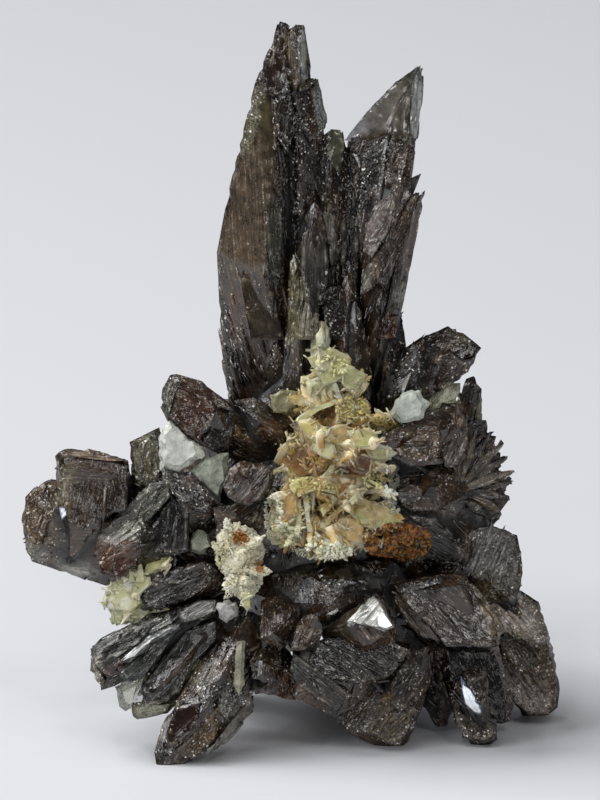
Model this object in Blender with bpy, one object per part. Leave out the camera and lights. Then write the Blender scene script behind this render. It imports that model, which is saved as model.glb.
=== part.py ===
"""Axinite specimen: wedge-shaped brown crystals grown from one core, with sprays of fine quartz.

The crystals are laid out as a draughtsman sees them from 15 degrees above the front. A point is given
by three sizes in millimetres: across (to the right), up (in the tilted picture plane) and back (the
true distance behind the middle of the specimen). seen() turns those into the model's own x, y and z.
Every crystal is the convex hull of a rim and a ridge, as a real wedge of axinite is, and crystals
that grew through each other are fused into one closed solid. Everything is modelled in millimetres
and scaled to metres at the end.
"""
import math
import random
from collections import namedtuple

import bmesh
import bpy
from mathutils import Matrix, Vector

# Driving dimensions in millimetres
VIEW_RISE = math.radians(15.0)
GAP = 0.3
GROUND_TRIM = 0.35
SLAB = 200.0
MM = 0.001

# Points closer than this are one point, and slivers thinner than the weld are closed up. A loose bit
# smaller than a speck, in cubic millimetres, is dropped without a word.
SAME_POINT = 0.001
WELD = 0.004
SPECK = 0.3

# The massive core that every crystal grows from: lumps, each a centre and three radii
CORE_CENTRE = (2.0, 4.0, 21.5)
CORE_LUMPS = (
    (CORE_CENTRE, (12.5, 9.0, 10.5)),
    ((-6.0, 3.0, 20.0), (9.0, 7.5, 6.5)),
    ((12.0, 4.0, 19.0), (9.5, 7.0, 9.0)),
    ((4.0, -1.0, 15.5), (9.0, 6.0, 5.0)),
    ((3.0, 6.0, 31.0), (8.0, 5.5, 7.0)),
)

# A wedge: its rim starts at the tip, and each ridge point stands proud of the rim's plane by a rise.
# tip and root are how far back the two ends lie, and behind is the back's rise over the front's.
Wedge = namedtuple("Wedge", "name tip root behind rim ridge")

TALL_BLADES = (
    Wedge("tall front blade", 8.0, 5.5, 1.0,
          ((-1.0, 71.2), (-0.2, 70.9), (0.1, 64.0), (-0.4, 55.0), (-0.8, 45.0), (0.4, 37.0), (2.0, 28.0),
           (-4.0, 27.0), (-6.1, 33.0), (-7.0, 41.5), (-7.3, 48.2), (-6.2, 54.0), (-5.0, 59.0),
           (-3.5, 65.0), (-1.8, 69.3)),
          ((-0.9, 67.5, 0.9), (-1.6, 57.0, 2.2), (-2.3, 48.5, 3.0), (-2.6, 45.6, 3.2), (-1.4, 40.5, 3.0))),
    Wedge("tall middle blade", 8.0, 6.0, 1.0,
          ((0.5, 71.0), (1.4, 70.8), (1.6, 68.0), (1.9, 65.0), (3.2, 60.0), (3.2, 50.0), (3.0, 33.0),
           (-0.4, 33.0), (-0.9, 55.0), (-0.4, 66.0), (-0.1, 70.2)),
          ((0.8, 66.5, 1.1), (0.9, 56.0, 2.0), (1.2, 46.0, 2.2))),
    Wedge("tall back blade", 9.4, 7.4, 1.0,
          ((2.0, 65.4), (2.8, 65.5), (3.2, 63.5), (3.4, 60.0), (3.5, 52.0), (3.2, 33.0), (0.5, 33.0),
           (0.8, 55.0), (1.2, 64.4)),
          ((2.3, 61.0, 1.2), (2.2, 50.0, 1.6))),
    Wedge("middle blade", 8.6, 5.0, 1.0,
          ((4.1, 60.5), (5.1, 60.6), (5.7, 58.4), (6.1, 53.0), (6.0, 45.0), (5.6, 33.0), (2.0, 33.0),
           (1.3, 45.0), (1.5, 51.0), (2.6, 57.0), (3.2, 59.8)),
          ((3.9, 57.0, 1.2), (3.5, 49.0, 2.3), (3.6, 40.0, 2.8))),
    Wedge("grey blade", 5.2, 3.0, 1.2,
          ((2.4, 53.2), (3.3, 52.4), (4.0, 48.0), (3.6, 43.0), (3.4, 34.0), (0.8, 35.0), (0.3, 45.5),
           (1.2, 51.5)),
          ((2.2, 50.4, 1.2), (2.6, 45.5, 1.7), (2.2, 40.0, 1.9))),
    Wedge("olive blade", 3.6, 1.6, 1.2,
          ((0.6, 47.8), (1.2, 47.2), (2.0, 43.5), (2.0, 37.5), (1.4, 32.0), (-0.9, 34.0), (-0.3, 42.0),
           (0.0, 46.6)),
          ((0.9, 45.0, 0.8), (0.8, 39.5, 1.5))),
    Wedge("purple blade in the cleft", 4.4, 2.0, 1.2,
          ((6.0, 47.0), (6.6, 45.4), (6.9, 40.0), (6.4, 33.0), (4.2, 33.0), (4.4, 40.0), (5.2, 45.2)),
          ((5.8, 42.6, 1.0), (5.4, 37.6, 1.6))),
    Wedge("right tall blade", 10.0, 6.0, 1.0,
          ((13.1, 67.0), (12.0, 66.4), (10.4, 65.0), (9.0, 63.5), (7.0, 61.0), (5.7, 59.2), (5.9, 52.0),
           (6.3, 45.0), (6.5, 33.0), (9.5, 33.0), (10.7, 46.0), (12.0, 54.0), (12.4, 57.5), (12.9, 62.0)),
          ((12.1, 65.0, 0.7), (11.9, 60.5, 1.0), (10.0, 61.0, 2.0), (8.9, 53.0, 3.0), (8.2, 42.0, 3.0))),
    Wedge("right front blade", 6.8, 3.0, 1.2,
          ((11.9, 59.0), (10.6, 58.0), (9.4, 55.2), (8.3, 52.8), (7.4, 50.0), (7.0, 44.0), (6.9, 36.0),
           (9.0, 33.5), (10.4, 43.0), (11.6, 50.5), (12.2, 56.0)),
          ((10.9, 54.6, 1.3), (9.6, 49.0, 2.0), (8.8, 41.0, 2.4))),
    Wedge("right toothed blade", 6.0, 2.6, 1.1,
          ((13.5, 54.5), (13.1, 52.2), (11.3, 48.2), (10.1, 45.2), (9.3, 43.6), (9.4, 33.5), (8.0, 34.0),
           (9.8, 44.0), (11.0, 50.0), (12.4, 53.4)),
          ((12.2, 51.8, 0.9), (10.6, 47.0, 1.5), (9.2, 40.5, 1.9))),
    Wedge("right low blade", 5.4, 1.6, 1.2,
          ((10.9, 44.4), (10.4, 42.4), (10.7, 40.0), (10.6, 37.0), (12.6, 31.0), (8.4, 31.0), (8.0, 37.0),
           (9.3, 43.4)),
          ((10.0, 41.6, 1.0), (9.6, 37.0, 1.8))),
    Wedge("dark blade over the quartz", 3.2, 1.0, 1.2,
          ((6.5, 43.4), (7.2, 42.0), (8.2, 37.0), (8.6, 31.5), (5.4, 32.0), (5.2, 38.0), (5.7, 42.2)),
          ((6.6, 40.0, 1.0), (6.8, 35.5, 1.7))),
)

RIGHT_ARM = (
    Wedge("right arm", 7.6, 1.5, 1.2,
          ((19.2, 38.7), (18.2, 39.5), (17.3, 40.2), (15.8, 40.9), (13.8, 40.0), (12.0, 38.6), (8.0, 33.0),
           (10.0, 29.5), (13.8, 33.8), (15.5, 34.8), (17.2, 35.9), (18.4, 37.2)),
          ((17.0, 38.1, 1.1), (14.7, 37.0, 1.9), (12.0, 34.8, 2.4))),
    Wedge("right arm front blade", 4.2, 0.0, 1.4,
          ((13.7, 40.2), (12.2, 39.0), (10.6, 37.2), (9.2, 33.4), (11.0, 30.5), (13.4, 33.0), (14.2, 36.2)),
          ((12.5, 37.2, 1.1), (11.2, 34.0, 1.6))),
    Wedge("upright small blade", 8.6, 4.0, 1.0,
          ((18.4, 35.9), (17.6, 35.7), (17.1, 33.0), (16.0, 28.0), (14.0, 24.0), (17.5, 24.0), (18.9, 30.0),
           (19.2, 34.6)),
          ((18.2, 33.3, 0.8), (17.2, 28.5, 1.4))),
    Wedge("upright front blade", 6.2, 2.6, 1.0,
          ((16.5, 34.5), (17.2, 34.4), (17.6, 30.0), (16.6, 25.0), (14.4, 25.0), (15.2, 30.0), (16.1, 34.2)),
          ((16.5, 31.8, 0.8), (16.1, 28.0, 1.2))),
    Wedge("brown flat crystal", -4.2, 1.8, 2.2,
          ((8.5, 29.7), (11.0, 31.0), (13.0, 31.8), (16.5, 33.4), (18.0, 30.6), (17.8, 28.3), (15.0, 27.1),
           (12.0, 26.9), (9.5, 28.2)),
          ((10.8, 29.7, 1.0), (14.2, 30.6, 1.6), (16.6, 30.4, 1.5))),
    Wedge("grey striated crystal", 2.6, -2.0, 2.0,
          ((20.2, 25.0), (18.8, 27.6), (15.6, 27.6), (13.2, 26.0), (12.2, 22.6), (15.0, 20.2), (19.0, 21.0)),
          ((14.6, 25.6, 1.6), (15.2, 22.8, 2.0), (18.2, 24.4, 1.3))),
)

LOWER_RIGHT = (
    Wedge("rough block", 1.8, -0.5, 2.4,
          ((21.0, 20.8), (22.7, 20.0), (23.1, 18.0), (23.3, 15.6), (22.4, 13.0), (19.0, 13.4), (16.4, 16.5),
           (16.8, 19.5), (18.5, 21.0)),
          ((18.8, 18.6, 1.7), (21.2, 17.8, 1.6), (20.2, 15.0, 1.8))),
    Wedge("right foot crystal", 6.0, 0.5, 1.1,
          ((25.4, 1.4), (26.9, 2.6), (27.1, 4.5), (26.6, 8.0), (25.5, 11.0), (24.9, 13.3), (23.0, 14.5),
           (19.0, 15.5), (18.3, 12.0), (20.4, 8.5), (20.8, 6.5), (21.9, 4.0), (23.4, 1.6)),
          ((24.9, 4.2, 2.0), (24.2, 8.6, 3.0), (22.4, 12.4, 2.8))),
    Wedge("flat-topped block", -6.5, -4.5, 2.6,
          ((21.0, 9.3), (19.5, 13.0), (17.5, 16.0), (15.5, 16.2), (11.2, 15.6), (9.0, 15.0), (10.5, 13.0),
           (14.5, 10.0), (16.0, 8.9), (20.6, 8.9)),
          ((12.3, 14.5, 2.4), (16.9, 15.1, 2.5), (19.7, 10.0, 2.3), (16.0, 9.7, 2.4))),
    Wedge("mirror crystal", -8.2, -6.0, 2.4,
          ((8.4, 14.3), (9.1, 13.0), (10.6, 11.3), (10.6, 9.4), (8.0, 8.0), (4.0, 8.4), (2.9, 10.5),
           (5.4, 11.6)),
          ((5.7, 11.0, 1.7), (9.8, 10.6, 2.2), (8.1, 9.2, 2.3))),
    Wedge("black crystal above the mirror", -4.5, -3.0, 3.0,
          ((3.0, 16.2), (6.0, 17.5), (10.5, 17.5), (12.0, 15.0), (8.8, 13.8), (4.0, 12.2), (1.4, 13.8)),
          ((5.0, 15.5, 1.6), (8.8, 16.0, 1.6))),
    Wedge("centre foot crystal", -5.2, -5.6, 1.8,
          ((9.9, -1.5), (11.2, -1.2), (12.4, 0.4), (13.1, 2.6), (14.1, 5.5), (14.3, 8.6), (12.0, 7.6),
           (9.0, 5.8), (4.5, 2.5), (4.7, 1.2), (6.0, 0.2), (8.0, -0.8)),
          ((9.4, 1.6, 1.7), (11.9, 4.6, 1.9))),
    Wedge("centre low crystal", -9.0, -4.0, 2.0,
          ((0.2, 4.0), (1.6, 3.2), (4.4, 1.9), (8.0, 3.6), (11.6, 7.0), (12.0, 9.2), (8.0, 10.0), (3.0, 9.8),
           (0.4, 7.6)),
          ((3.4, 5.4, 1.5), (7.8, 7.6, 1.8))),
    Wedge("pink-brown crystal", -9.6, -7.0, 2.4,
          ((2.9, 12.5), (1.9, 12.3), (1.0, 11.5), (-0.2, 9.2), (0.5, 7.8), (2.6, 8.4), (3.3, 10.6)),
          ((1.9, 11.0, 0.9), (1.5, 9.4, 1.2))),
    Wedge("brown column", -8.4, -5.0, 2.0,
          ((-1.0, 8.6), (-3.0, 9.7), (-2.9, 13.5), (-1.5, 14.7), (0.3, 14.6), (1.3, 12.8), (0.3, 9.8)),
          ((-1.4, 12.8, 1.6), (0.1, 12.0, 1.6), (-1.3, 10.4, 1.6))),
    Wedge("crystal in the shadow", 0.5, 1.5, 1.6,
          ((20.6, 4.0), (12.4, 5.0), (11.0, 11.0), (21.0, 11.0)),
          ((16.5, 8.0, 2.0),)),
    Wedge("stained lump", -5.2, -3.0, 2.0,
          ((14.0, 21.2), (12.2, 19.6), (10.6, 17.9), (7.4, 17.8), (7.4, 21.0), (11.0, 21.6)),
          ((10.2, 20.0, 1.5), (8.6, 19.0, 1.5))),
    Wedge("dark column", -0.5, -4.0, 1.6,
          ((14.6, 0.8), (15.6, 0.8), (16.4, 2.2), (16.3, 9.4), (13.0, 9.4), (13.1, 3.0)),
          ((14.8, 4.6, 1.2), (14.8, 8.0, 1.6))),
    Wedge("black striated crystal", -1.0, -4.2, 1.6,
          ((21.2, 1.0), (22.0, 1.4), (22.4, 3.0), (21.3, 6.3), (20.7, 9.4), (16.2, 9.4), (16.3, 5.0),
           (18.0, 1.8)),
          ((20.1, 3.9, 1.4), (18.8, 7.4, 1.8))),
    Wedge("right front foot", -4.7, -5.4, 1.5,
          ((19.4, -1.35), (18.3, -1.2), (17.2, 0.1), (16.3, 2.6), (15.9, 4.6), (17.4, 7.2), (19.7, 6.8),
           (20.6, 2.6), (20.7, -0.4)),
          ((17.7, 5.0, 1.7), (19.0, 3.0, 2.0), (19.2, 0.8, 1.5))),
)

LOWER_LEFT = (
    Wedge("upper left wedge", -6.6, -3.0, 2.0,
          ((-15.0, 14.0), (-14.2, 15.6), (-13.0, 16.4), (-9.0, 17.4), (-5.0, 17.0), (-3.5, 14.0),
           (-8.0, 13.3), (-12.0, 12.8), (-14.4, 13.0)),
          ((-11.6, 15.1, 1.1), (-7.6, 15.7, 1.7))),
    Wedge("striated fan crystal", -8.6, -4.4, 1.4,
          ((-19.8, 8.7), (-19.0, 9.6), (-17.0, 10.6), (-14.0, 12.2), (-11.0, 13.3), (-7.0, 13.8),
           (-4.5, 12.6), (-9.5, 9.0), (-14.0, 6.3), (-16.0, 5.4), (-18.8, 4.6), (-19.3, 6.4)),
          ((-17.2, 7.4, 1.3), (-11.4, 11.0, 2.4), (-8.0, 12.4, 2.4))),
    Wedge("lower fan crystal", -9.6, -6.0, 1.4,
          ((-15.8, 1.9), (-15.7, 3.2), (-14.9, 5.0), (-13.8, 7.0), (-11.0, 11.0), (-7.5, 12.2), (-5.5, 9.4),
           (-9.4, 5.6), (-11.2, 3.3), (-12.2, 2.3)),
          ((-13.5, 4.4, 1.2), (-10.5, 7.8, 2.2), (-8.6, 10.0, 2.3))),
    Wedge("front left foot", -12.1, -6.4, 1.3,
          ((-12.2, -3.4), (-13.3, -2.7), (-13.5, -1.5), (-12.7, 1.3), (-11.0, 3.8), (-9.0, 7.5),
           (-7.0, 9.8), (-4.0, 12.2), (-2.6, 9.0), (-3.6, 4.0), (-5.0, 1.5), (-7.0, -0.3), (-9.0, -2.0),
           (-11.0, -2.9)),
          ((-10.8, -0.6, 1.5), (-8.4, 3.2, 2.3), (-6.2, 7.2, 2.7))),
    Wedge("clear little crystal", -10.6, -7.0, 1.4,
          ((-3.7, 5.8), (-4.0, 7.5), (-3.4, 8.6), (-2.0, 9.1), (-0.8, 7.4), (-1.4, 5.6), (-2.6, 5.3)),
          ((-2.8, 7.6, 1.2), (-2.0, 6.6, 1.2))),
    Wedge("low middle crystal", -9.4, -5.0, 2.0,
          ((-3.5, 4.2), (-1.9, 4.3), (0.6, 3.6), (1.4, 7.0), (-1.0, 9.4), (-3.8, 7.4)),
          ((-1.2, 6.2, 1.2),)),
)

LEFT_GROUP = (
    Wedge("far left crystal", -1.0, 1.5, 1.2,
          ((-26.8, 21.5), (-26.4, 23.8), (-25.5, 24.8), (-23.8, 25.7), (-21.0, 25.6), (-15.0, 22.5),
           (-9.0, 18.5), (-18.3, 14.9), (-23.0, 16.4), (-25.8, 17.4), (-26.6, 19.0)),
          ((-23.6, 22.4, 1.8), (-24.4, 19.4, 1.5), (-19.6, 20.2, 2.6), (-16.0, 19.0, 2.8))),
    Wedge("left block", -2.6, -1.0, 1.8,
          ((-23.4, 27.9), (-22.5, 28.8), (-19.5, 28.3), (-16.1, 27.3), (-15.3, 24.0), (-16.4, 20.5),
           (-19.3, 18.0), (-22.0, 17.2), (-23.1, 21.6)),
          ((-22.5, 26.8, 1.9), (-17.2, 25.9, 2.4), (-18.4, 21.8, 2.7), (-21.9, 21.4, 2.1))),
    Wedge("grey-green crystal", -1.2, -2.0, 2.0,
          ((-13.0, 30.8), (-13.9, 29.9), (-16.0, 29.3), (-15.7, 24.0), (-14.0, 19.0), (-9.6, 18.0),
           (-9.0, 23.0), (-11.0, 26.0), (-12.7, 27.6)),
          ((-14.3, 27.4, 1.4), (-13.6, 23.0, 2.4), (-11.8, 21.0, 2.4))),
    Wedge("reddish low crystal", -6.4, -3.4, 2.2,
          ((-17.5, 15.9), (-19.0, 16.5), (-19.5, 18.5), (-19.0, 20.5), (-17.5, 22.0), (-14.5, 23.4),
           (-11.4, 20.4), (-11.6, 17.6), (-14.0, 16.8)),
          ((-17.4, 19.0, 1.6), (-14.8, 20.6, 2.4), (-14.8, 18.3, 2.2))),
    Wedge("dark left wedge", -4.4, -2.0, 2.0,
          ((-10.8, 26.2), (-9.8, 26.4), (-7.8, 24.2), (-6.8, 22.0), (-8.0, 18.6), (-13.0, 18.0),
           (-14.0, 21.0), (-12.2, 24.4)),
          ((-10.4, 24.2, 1.2), (-10.6, 21.0, 1.8))),
    Wedge("reddish blade", -2.0, 0.5, 1.8,
          ((-11.9, 36.0), (-11.3, 36.1), (-8.8, 35.4), (-6.0, 33.0), (-4.0, 31.0), (-1.0, 27.4),
           (-5.0, 27.3), (-8.5, 28.7), (-10.5, 29.5), (-12.0, 31.0), (-12.9, 32.8), (-12.7, 34.6)),
          ((-11.5, 35.0, 0.9), (-11.1, 31.8, 1.9), (-7.6, 33.0, 1.9), (-6.4, 30.4, 2.1))),
    Wedge("crystal at the tall blade's foot", -0.4, 0.6, 1.8,
          ((-5.6, 33.4), (-3.6, 33.8), (0.4, 31.4), (0.0, 26.6), (-5.0, 27.6)),
          ((-3.0, 31.2, 1.6), (-1.0, 29.8, 1.6))),
    Wedge("small striated crystal", -6.4, -4.0, 2.4,
          ((-6.5, 24.6), (-6.0, 26.6), (-5.0, 27.5), (-2.8, 27.3), (-1.4, 26.0), (-2.4, 23.5), (-4.5, 23.4)),
          ((-5.0, 25.8, 1.3), (-3.0, 25.8, 1.5))),
    Wedge("crystal between the sprays", -4.8, -3.6, 2.2,
          ((-7.6, 22.8), (-2.0, 24.0), (0.2, 21.0), (-1.5, 17.6), (-7.2, 18.4)),
          ((-3.6, 21.2, 1.2),)),
)

# Blades of the fan on the right, from one root: where each tip lies, across, up and back
FAN_ROOT = (12.5, 24.0, 1.5)
FAN_TIPS = (
    (20.1, 31.0, 6.0), (21.0, 29.3, 4.8), (21.4, 27.6, 6.6), (22.3, 25.0, 5.2), (21.9, 22.9, 3.6),
    (21.2, 21.4, 5.0),
)
FAN_BLADE = (3.4, 1.6)

# Saw teeth along an edge: each is the upper right corner of a thin blade, which stands out past the
# edge. A row gives the tooth's top and side as runs across and up, its depth back at the first and
# last tooth, and where each corner lies across and up.
TOOTH_THICKNESS = 1.1
COMBS = (
    ((-2.0, -0.9), (-1.7, -4.4), 6.6, 6.6, ((13.1, 56.1),)),
    ((-1.8, -1.1), (-1.0, -3.4), 4.6, 3.4, ((11.4, 42.4), (11.1, 39.7), (11.3, 38.2))),
    ((-2.2, -1.5), (-2.2, -2.2), 4.9, 6.1, ((13.7, 40.2), (16.0, 40.9), (17.2, 40.2), (18.3, 39.4))),
    ((-2.4, 0.6), (-2.6, -1.2), 5.0, 4.2, ((22.4, 25.4), (21.9, 23.4), (21.2, 21.6))),
    ((-1.6, 0.8), (1.2, -1.8), -6.0, -6.1, ((7.4, 4.7), (9.2, 5.6), (11.0, 6.9), (12.4, 8.4))),
)

# Crystals of the back, which stand out from the core in every direction that the front leaves open:
# bearing and climb in degrees, then length from the core's centre, width, thickness and turn
BACK_SPEARS = (
    (78.0, 62.0, 27.0, 8.5, 4.6, 10.0),
    (112.0, 50.0, 26.0, 9.0, 4.8, -25.0),
    (50.0, 30.0, 22.0, 8.5, 4.2, 35.0),
    (86.0, 24.0, 21.0, 10.5, 5.2, 5.0),
    (126.0, 20.0, 20.0, 9.0, 4.6, -40.0),
    (152.0, 12.0, 18.0, 8.0, 4.4, 20.0),
    (24.0, 8.0, 20.0, 8.0, 4.4, -15.0),
    (60.0, 6.0, 22.0, 9.0, 4.8, 50.0),
    (104.0, 0.0, 21.0, 10.0, 5.0, -60.0),
    (138.0, -12.0, 21.5, 8.5, 4.6, 30.0),
    (172.0, 2.0, 21.0, 8.0, 4.4, 65.0),
    (36.0, -18.0, 22.0, 8.5, 4.8, 15.0),
    (76.0, -26.0, 21.0, 10.0, 5.0, -20.0),
    (112.0, -47.0, 30.6, 8.5, 5.4, 25.0),
    (58.0, -50.0, 29.2, 8.5, 5.2, -30.0),
    (150.0, -56.0, 27.2, 7.5, 4.8, 10.0),
    (10.0, -28.0, 20.0, 8.0, 4.6, 70.0),
)
SISTERS_PER_SPEAR = 1
SISTER_OFFSET = (0.26, 0.36)
SISTER_LENGTH = (0.78, 0.9)
SISTER_WIDTH = 0.55
SPEAR_START = 3.0

# Quartz mounds, from which the needles stand: centre across, up and back, then the three radii
MAIN_MOUNDS = (
    ((4.4, 27.0, -3.4), (5.6, 4.2, 5.6)),
    ((3.8, 33.6, -1.4), (3.0, 2.6, 4.2)),
    ((1.2, 22.0, -4.6), (3.4, 2.6, 3.2)),
    ((4.6, 20.6, -5.0), (3.6, 2.8, 2.8)),
    ((8.4, 21.8, -4.6), (2.4, 2.4, 1.6)),
)
SMALL_MOUNDS = (
    ((-5.0, 18.4, -5.4), (2.5, 2.6, 3.2)),
    ((-4.6, 15.6, -6.0), (1.9, 2.2, 1.8)),
)
LEFT_MOUNDS = (
    ((-15.4, 13.6, -3.8), (2.4, 2.2, 2.4)),
    ((-13.4, 15.8, -3.4), (1.9, 2.0, 1.7)),
    ((-12.0, 14.4, -1.8), (3.2, 2.4, 2.2)),
)

# Large quartz needles: two ends, each across, up and back, then the radius
MAIN_NEEDLES = (
    ((3.0, 37.0, -1.5), (3.2, 41.4, -2.4), 0.75),
    ((3.6, 33.0, -3.0), (2.8, 38.6, -3.6), 0.65),
    ((5.6, 33.0, -3.2), (7.8, 36.2, -3.6), 0.8),
    ((3.6, 35.6, -2.2), (6.0, 38.0, -3.0), 0.65),
    ((0.2, 31.6, -4.4), (5.8, 34.2, -5.8), 0.45),
    ((1.4, 33.2, -2.6), (-0.4, 33.8, -4.0), 0.7),
    ((5.0, 29.0, -6.0), (9.8, 29.4, -7.8), 0.7),
    ((6.0, 31.4, -4.4), (10.6, 32.2, -4.2), 0.6),
    ((7.0, 27.0, -5.6), (10.4, 26.6, -8.0), 0.55),
    ((6.6, 25.4, -6.0), (10.8, 24.0, -7.4), 0.65),
    ((7.0, 22.8, -5.6), (11.4, 21.7, -6.6), 0.85),
    ((5.4, 22.4, -7.0), (8.0, 20.4, -9.2), 0.8),
    ((4.0, 21.0, -7.4), (5.4, 17.7, -8.8), 0.8),
    ((2.4, 22.0, -6.6), (1.8, 18.4, -8.6), 0.6),
    ((1.4, 23.0, -6.0), (-1.8, 20.6, -7.6), 0.7),
    ((1.0, 24.2, -6.0), (-2.2, 23.8, -7.4), 0.55),
    ((1.2, 28.6, -5.0), (-1.2, 28.6, -7.0), 0.6),
    ((2.4, 28.0, -6.6), (0.6, 31.4, -7.6), 0.5),
    ((3.4, 27.6, -6.6), (3.0, 30.8, -9.0), 0.55),
    ((4.6, 26.4, -6.8), (6.4, 28.6, -9.6), 0.55),
    ((4.4, 25.0, -7.0), (2.4, 25.6, -10.0), 0.6),
    ((5.6, 24.2, -7.0), (7.6, 24.6, -9.8), 0.6),
    ((3.0, 24.0, -7.0), (1.6, 22.4, -9.6), 0.5),
)
SMALL_NEEDLES = (
    ((-5.4, 18.6, -7.0), (-6.4, 21.8, -8.2), 0.5),
    ((-5.6, 17.6, -7.0), (-7.8, 19.4, -8.4), 0.5),
    ((-4.6, 18.4, -7.0), (-2.4, 20.2, -8.0), 0.45),
    ((-4.4, 16.6, -7.4), (-1.6, 16.4, -8.6), 0.5),
    ((-4.6, 15.6, -7.6), (-4.3, 12.4, -9.4), 0.45),
    ((-5.4, 15.8, -7.4), (-6.8, 14.6, -8.8), 0.5),
    ((-5.0, 17.8, -7.6), (-4.4, 18.6, -10.0), 0.55),
)
LEFT_NEEDLES = (
    ((-15.8, 14.0, -5.4), (-18.6, 14.6, -6.6), 0.65),
    ((-15.4, 14.8, -5.4), (-17.0, 16.4, -6.4), 0.5),
    ((-14.8, 15.4, -5.2), (-15.2, 17.8, -6.4), 0.5),
    ((-13.4, 16.0, -5.2), (-11.8, 18.0, -6.2), 0.6),
    ((-15.6, 12.8, -5.6), (-16.9, 11.0, -7.2), 0.6),
    ((-15.0, 13.8, -5.6), (-15.6, 14.0, -8.2), 0.6),
)

# Pale blocks and small single crystals of quartz: an outline across and up, and how far back the
# front and the rear of the block lie
BLOCKS = (
    ("pale_block_left", -4.6, -0.4,
     ((-12.9, 26.5), (-12.9, 30.6), (-12.0, 31.5), (-11.0, 30.0), (-9.0, 29.2), (-8.5, 28.0), (-10.8, 26.2))),
    ("pale_block_left_low", -3.8, -0.6,
     ((-10.3, 26.4), (-8.6, 28.0), (-6.2, 28.2), (-6.2, 25.5), (-7.0, 23.3), (-8.4, 24.2))),
    ("pale_block_right", -3.2, 0.6,
     ((9.9, 32.0), (10.4, 33.4), (11.6, 34.6), (12.8, 34.4), (13.8, 33.3), (13.4, 31.6), (11.0, 30.9))),
    ("pale_block_centre", -1.8, 2.0,
     ((-2.0, 34.0), (-0.8, 34.7), (0.8, 34.3), (0.9, 32.6), (-0.3, 31.8), (-1.7, 32.2))),
    ("clear_block_right", 0.2, 3.4,
     ((13.8, 33.6), (15.8, 35.3), (17.0, 35.2), (17.0, 33.2), (15.4, 32.2), (14.0, 32.2))),
    ("pale_crystal_left", -6.0, -2.6,
     ((-10.1, 19.4), (-9.2, 20.7), (-8.0, 20.2), (-7.7, 18.9), (-8.8, 18.1), (-9.9, 18.4))),
    ("quartz_bit_low", -9.0, -5.4,
     ((-7.4, 12.8), (-6.6, 13.6), (-5.4, 13.2), (-5.2, 12.2), (-6.3, 11.4), (-7.2, 11.8))),
    ("quartz_bit_left", -8.8, -5.0,
     ((-17.6, 5.0), (-14.4, 6.6), (-12.6, 5.0), (-14.6, 3.2), (-16.3, 2.5), (-17.0, 3.0))),
)
LOW_PRISM = ((-4.9, 9.6, -9.8), (-5.1, 3.9, -11.3), 0.6)

# How far a lump's points are pushed in or out, how long and thick the small needles are, and the
# size of a block's front and rear beside its widest part, which lies a third of the way back
LUMP_PUSH = (0.88, 1.04)
SMALL_NEEDLE_LENGTH = (1.0, 2.2)
SMALL_NEEDLE_RADIUS = (0.32, 0.5)
SMALL_NEEDLE_LEAN = 0.6
BLOCK_END = 0.72
BLOCK_WIDEST = 0.3
SEED = 20

# Each spray: name, mounds, large needles, and how many small needles
SPRAYS = (
    ("quartz_spray_main", MAIN_MOUNDS, MAIN_NEEDLES, 10),
    ("quartz_spray_small", SMALL_MOUNDS, SMALL_NEEDLES, 4),
    ("quartz_spray_left", LEFT_MOUNDS, LEFT_NEEDLES, 3),
    ("quartz_prism_low", (), (LOW_PRISM,), 0),
)


def seen(across, up, back):
    """Turns a place in the tilted picture plane, and its true distance back, into x, y and z."""
    return Vector((across, back, up / math.cos(VIEW_RISE) - back * math.tan(VIEW_RISE)))


def clear_scene():
    """Empties the scene of what it opens with."""
    for thing in list(bpy.data.objects):
        bpy.data.objects.remove(thing, do_unlink=True)


def principled(name, colour, roughness, alpha=1.0):
    """A Principled BSDF material of one colour, given as sRGB hex digits."""
    channels = [int(colour[i:i + 2], 16) / 255 for i in (0, 2, 4)]
    linear = [c / 12.92 if c <= 0.04045 else ((c + 0.055) / 1.055) ** 2.4 for c in channels]
    material = bpy.data.materials.new(name)
    material.use_nodes = True
    shader = material.node_tree.nodes["Principled BSDF"]
    shader.inputs["Base Color"].default_value = (*linear, 1.0)
    shader.inputs["Roughness"].default_value = roughness
    shader.inputs["Metallic"].default_value = 0.0
    shader.inputs["Alpha"].default_value = alpha
    material.diffuse_color = (*linear, alpha)
    return material


def hull_shape(points):
    """A bmesh of the convex hull of some points, with its faces pointing out."""
    shape = bmesh.new()
    for point in points:
        shape.verts.new(point)
    result = bmesh.ops.convex_hull(shape, input=shape.verts, use_existing_faces=False)
    spare = set(result["geom_interior"]) | set(result["geom_unused"])
    bmesh.ops.delete(shape, geom=[v for v in spare if isinstance(v, bmesh.types.BMVert)], context="VERTS")
    bmesh.ops.recalc_face_normals(shape, faces=shape.faces)
    return shape


def hull(points):
    """A mesh of the convex hull of some points."""
    shape = hull_shape(points)
    bmesh.ops.remove_doubles(shape, verts=shape.verts, dist=SAME_POINT)
    mesh = bpy.data.meshes.new("hull")
    shape.to_mesh(mesh)
    shape.free()
    return mesh


def grown(points, by):
    """The corners of a hull whose every face stands this far outside the hull of the given points.

    Each face becomes a point of the dual solid, its normal over its distance from the centre, and
    each face of the dual solid's own hull gives back one corner in the same way.
    """
    shape = hull_shape(points)
    centre = sum((vert.co for vert in shape.verts), Vector()) / len(shape.verts)
    duals = []
    for face in shape.faces:
        distance = face.normal.dot(face.verts[0].co - centre) + by
        dual = face.normal / distance
        if all((dual - other).length > 1e-4 for other in duals):
            duals.append(dual)
    shape.free()
    dual_shape = hull_shape(duals)
    corners = []
    for face in dual_shape.faces:
        distance = face.normal.dot(face.verts[0].co)
        corners.append(centre + face.normal / distance)
    dual_shape.free()
    return corners


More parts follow.
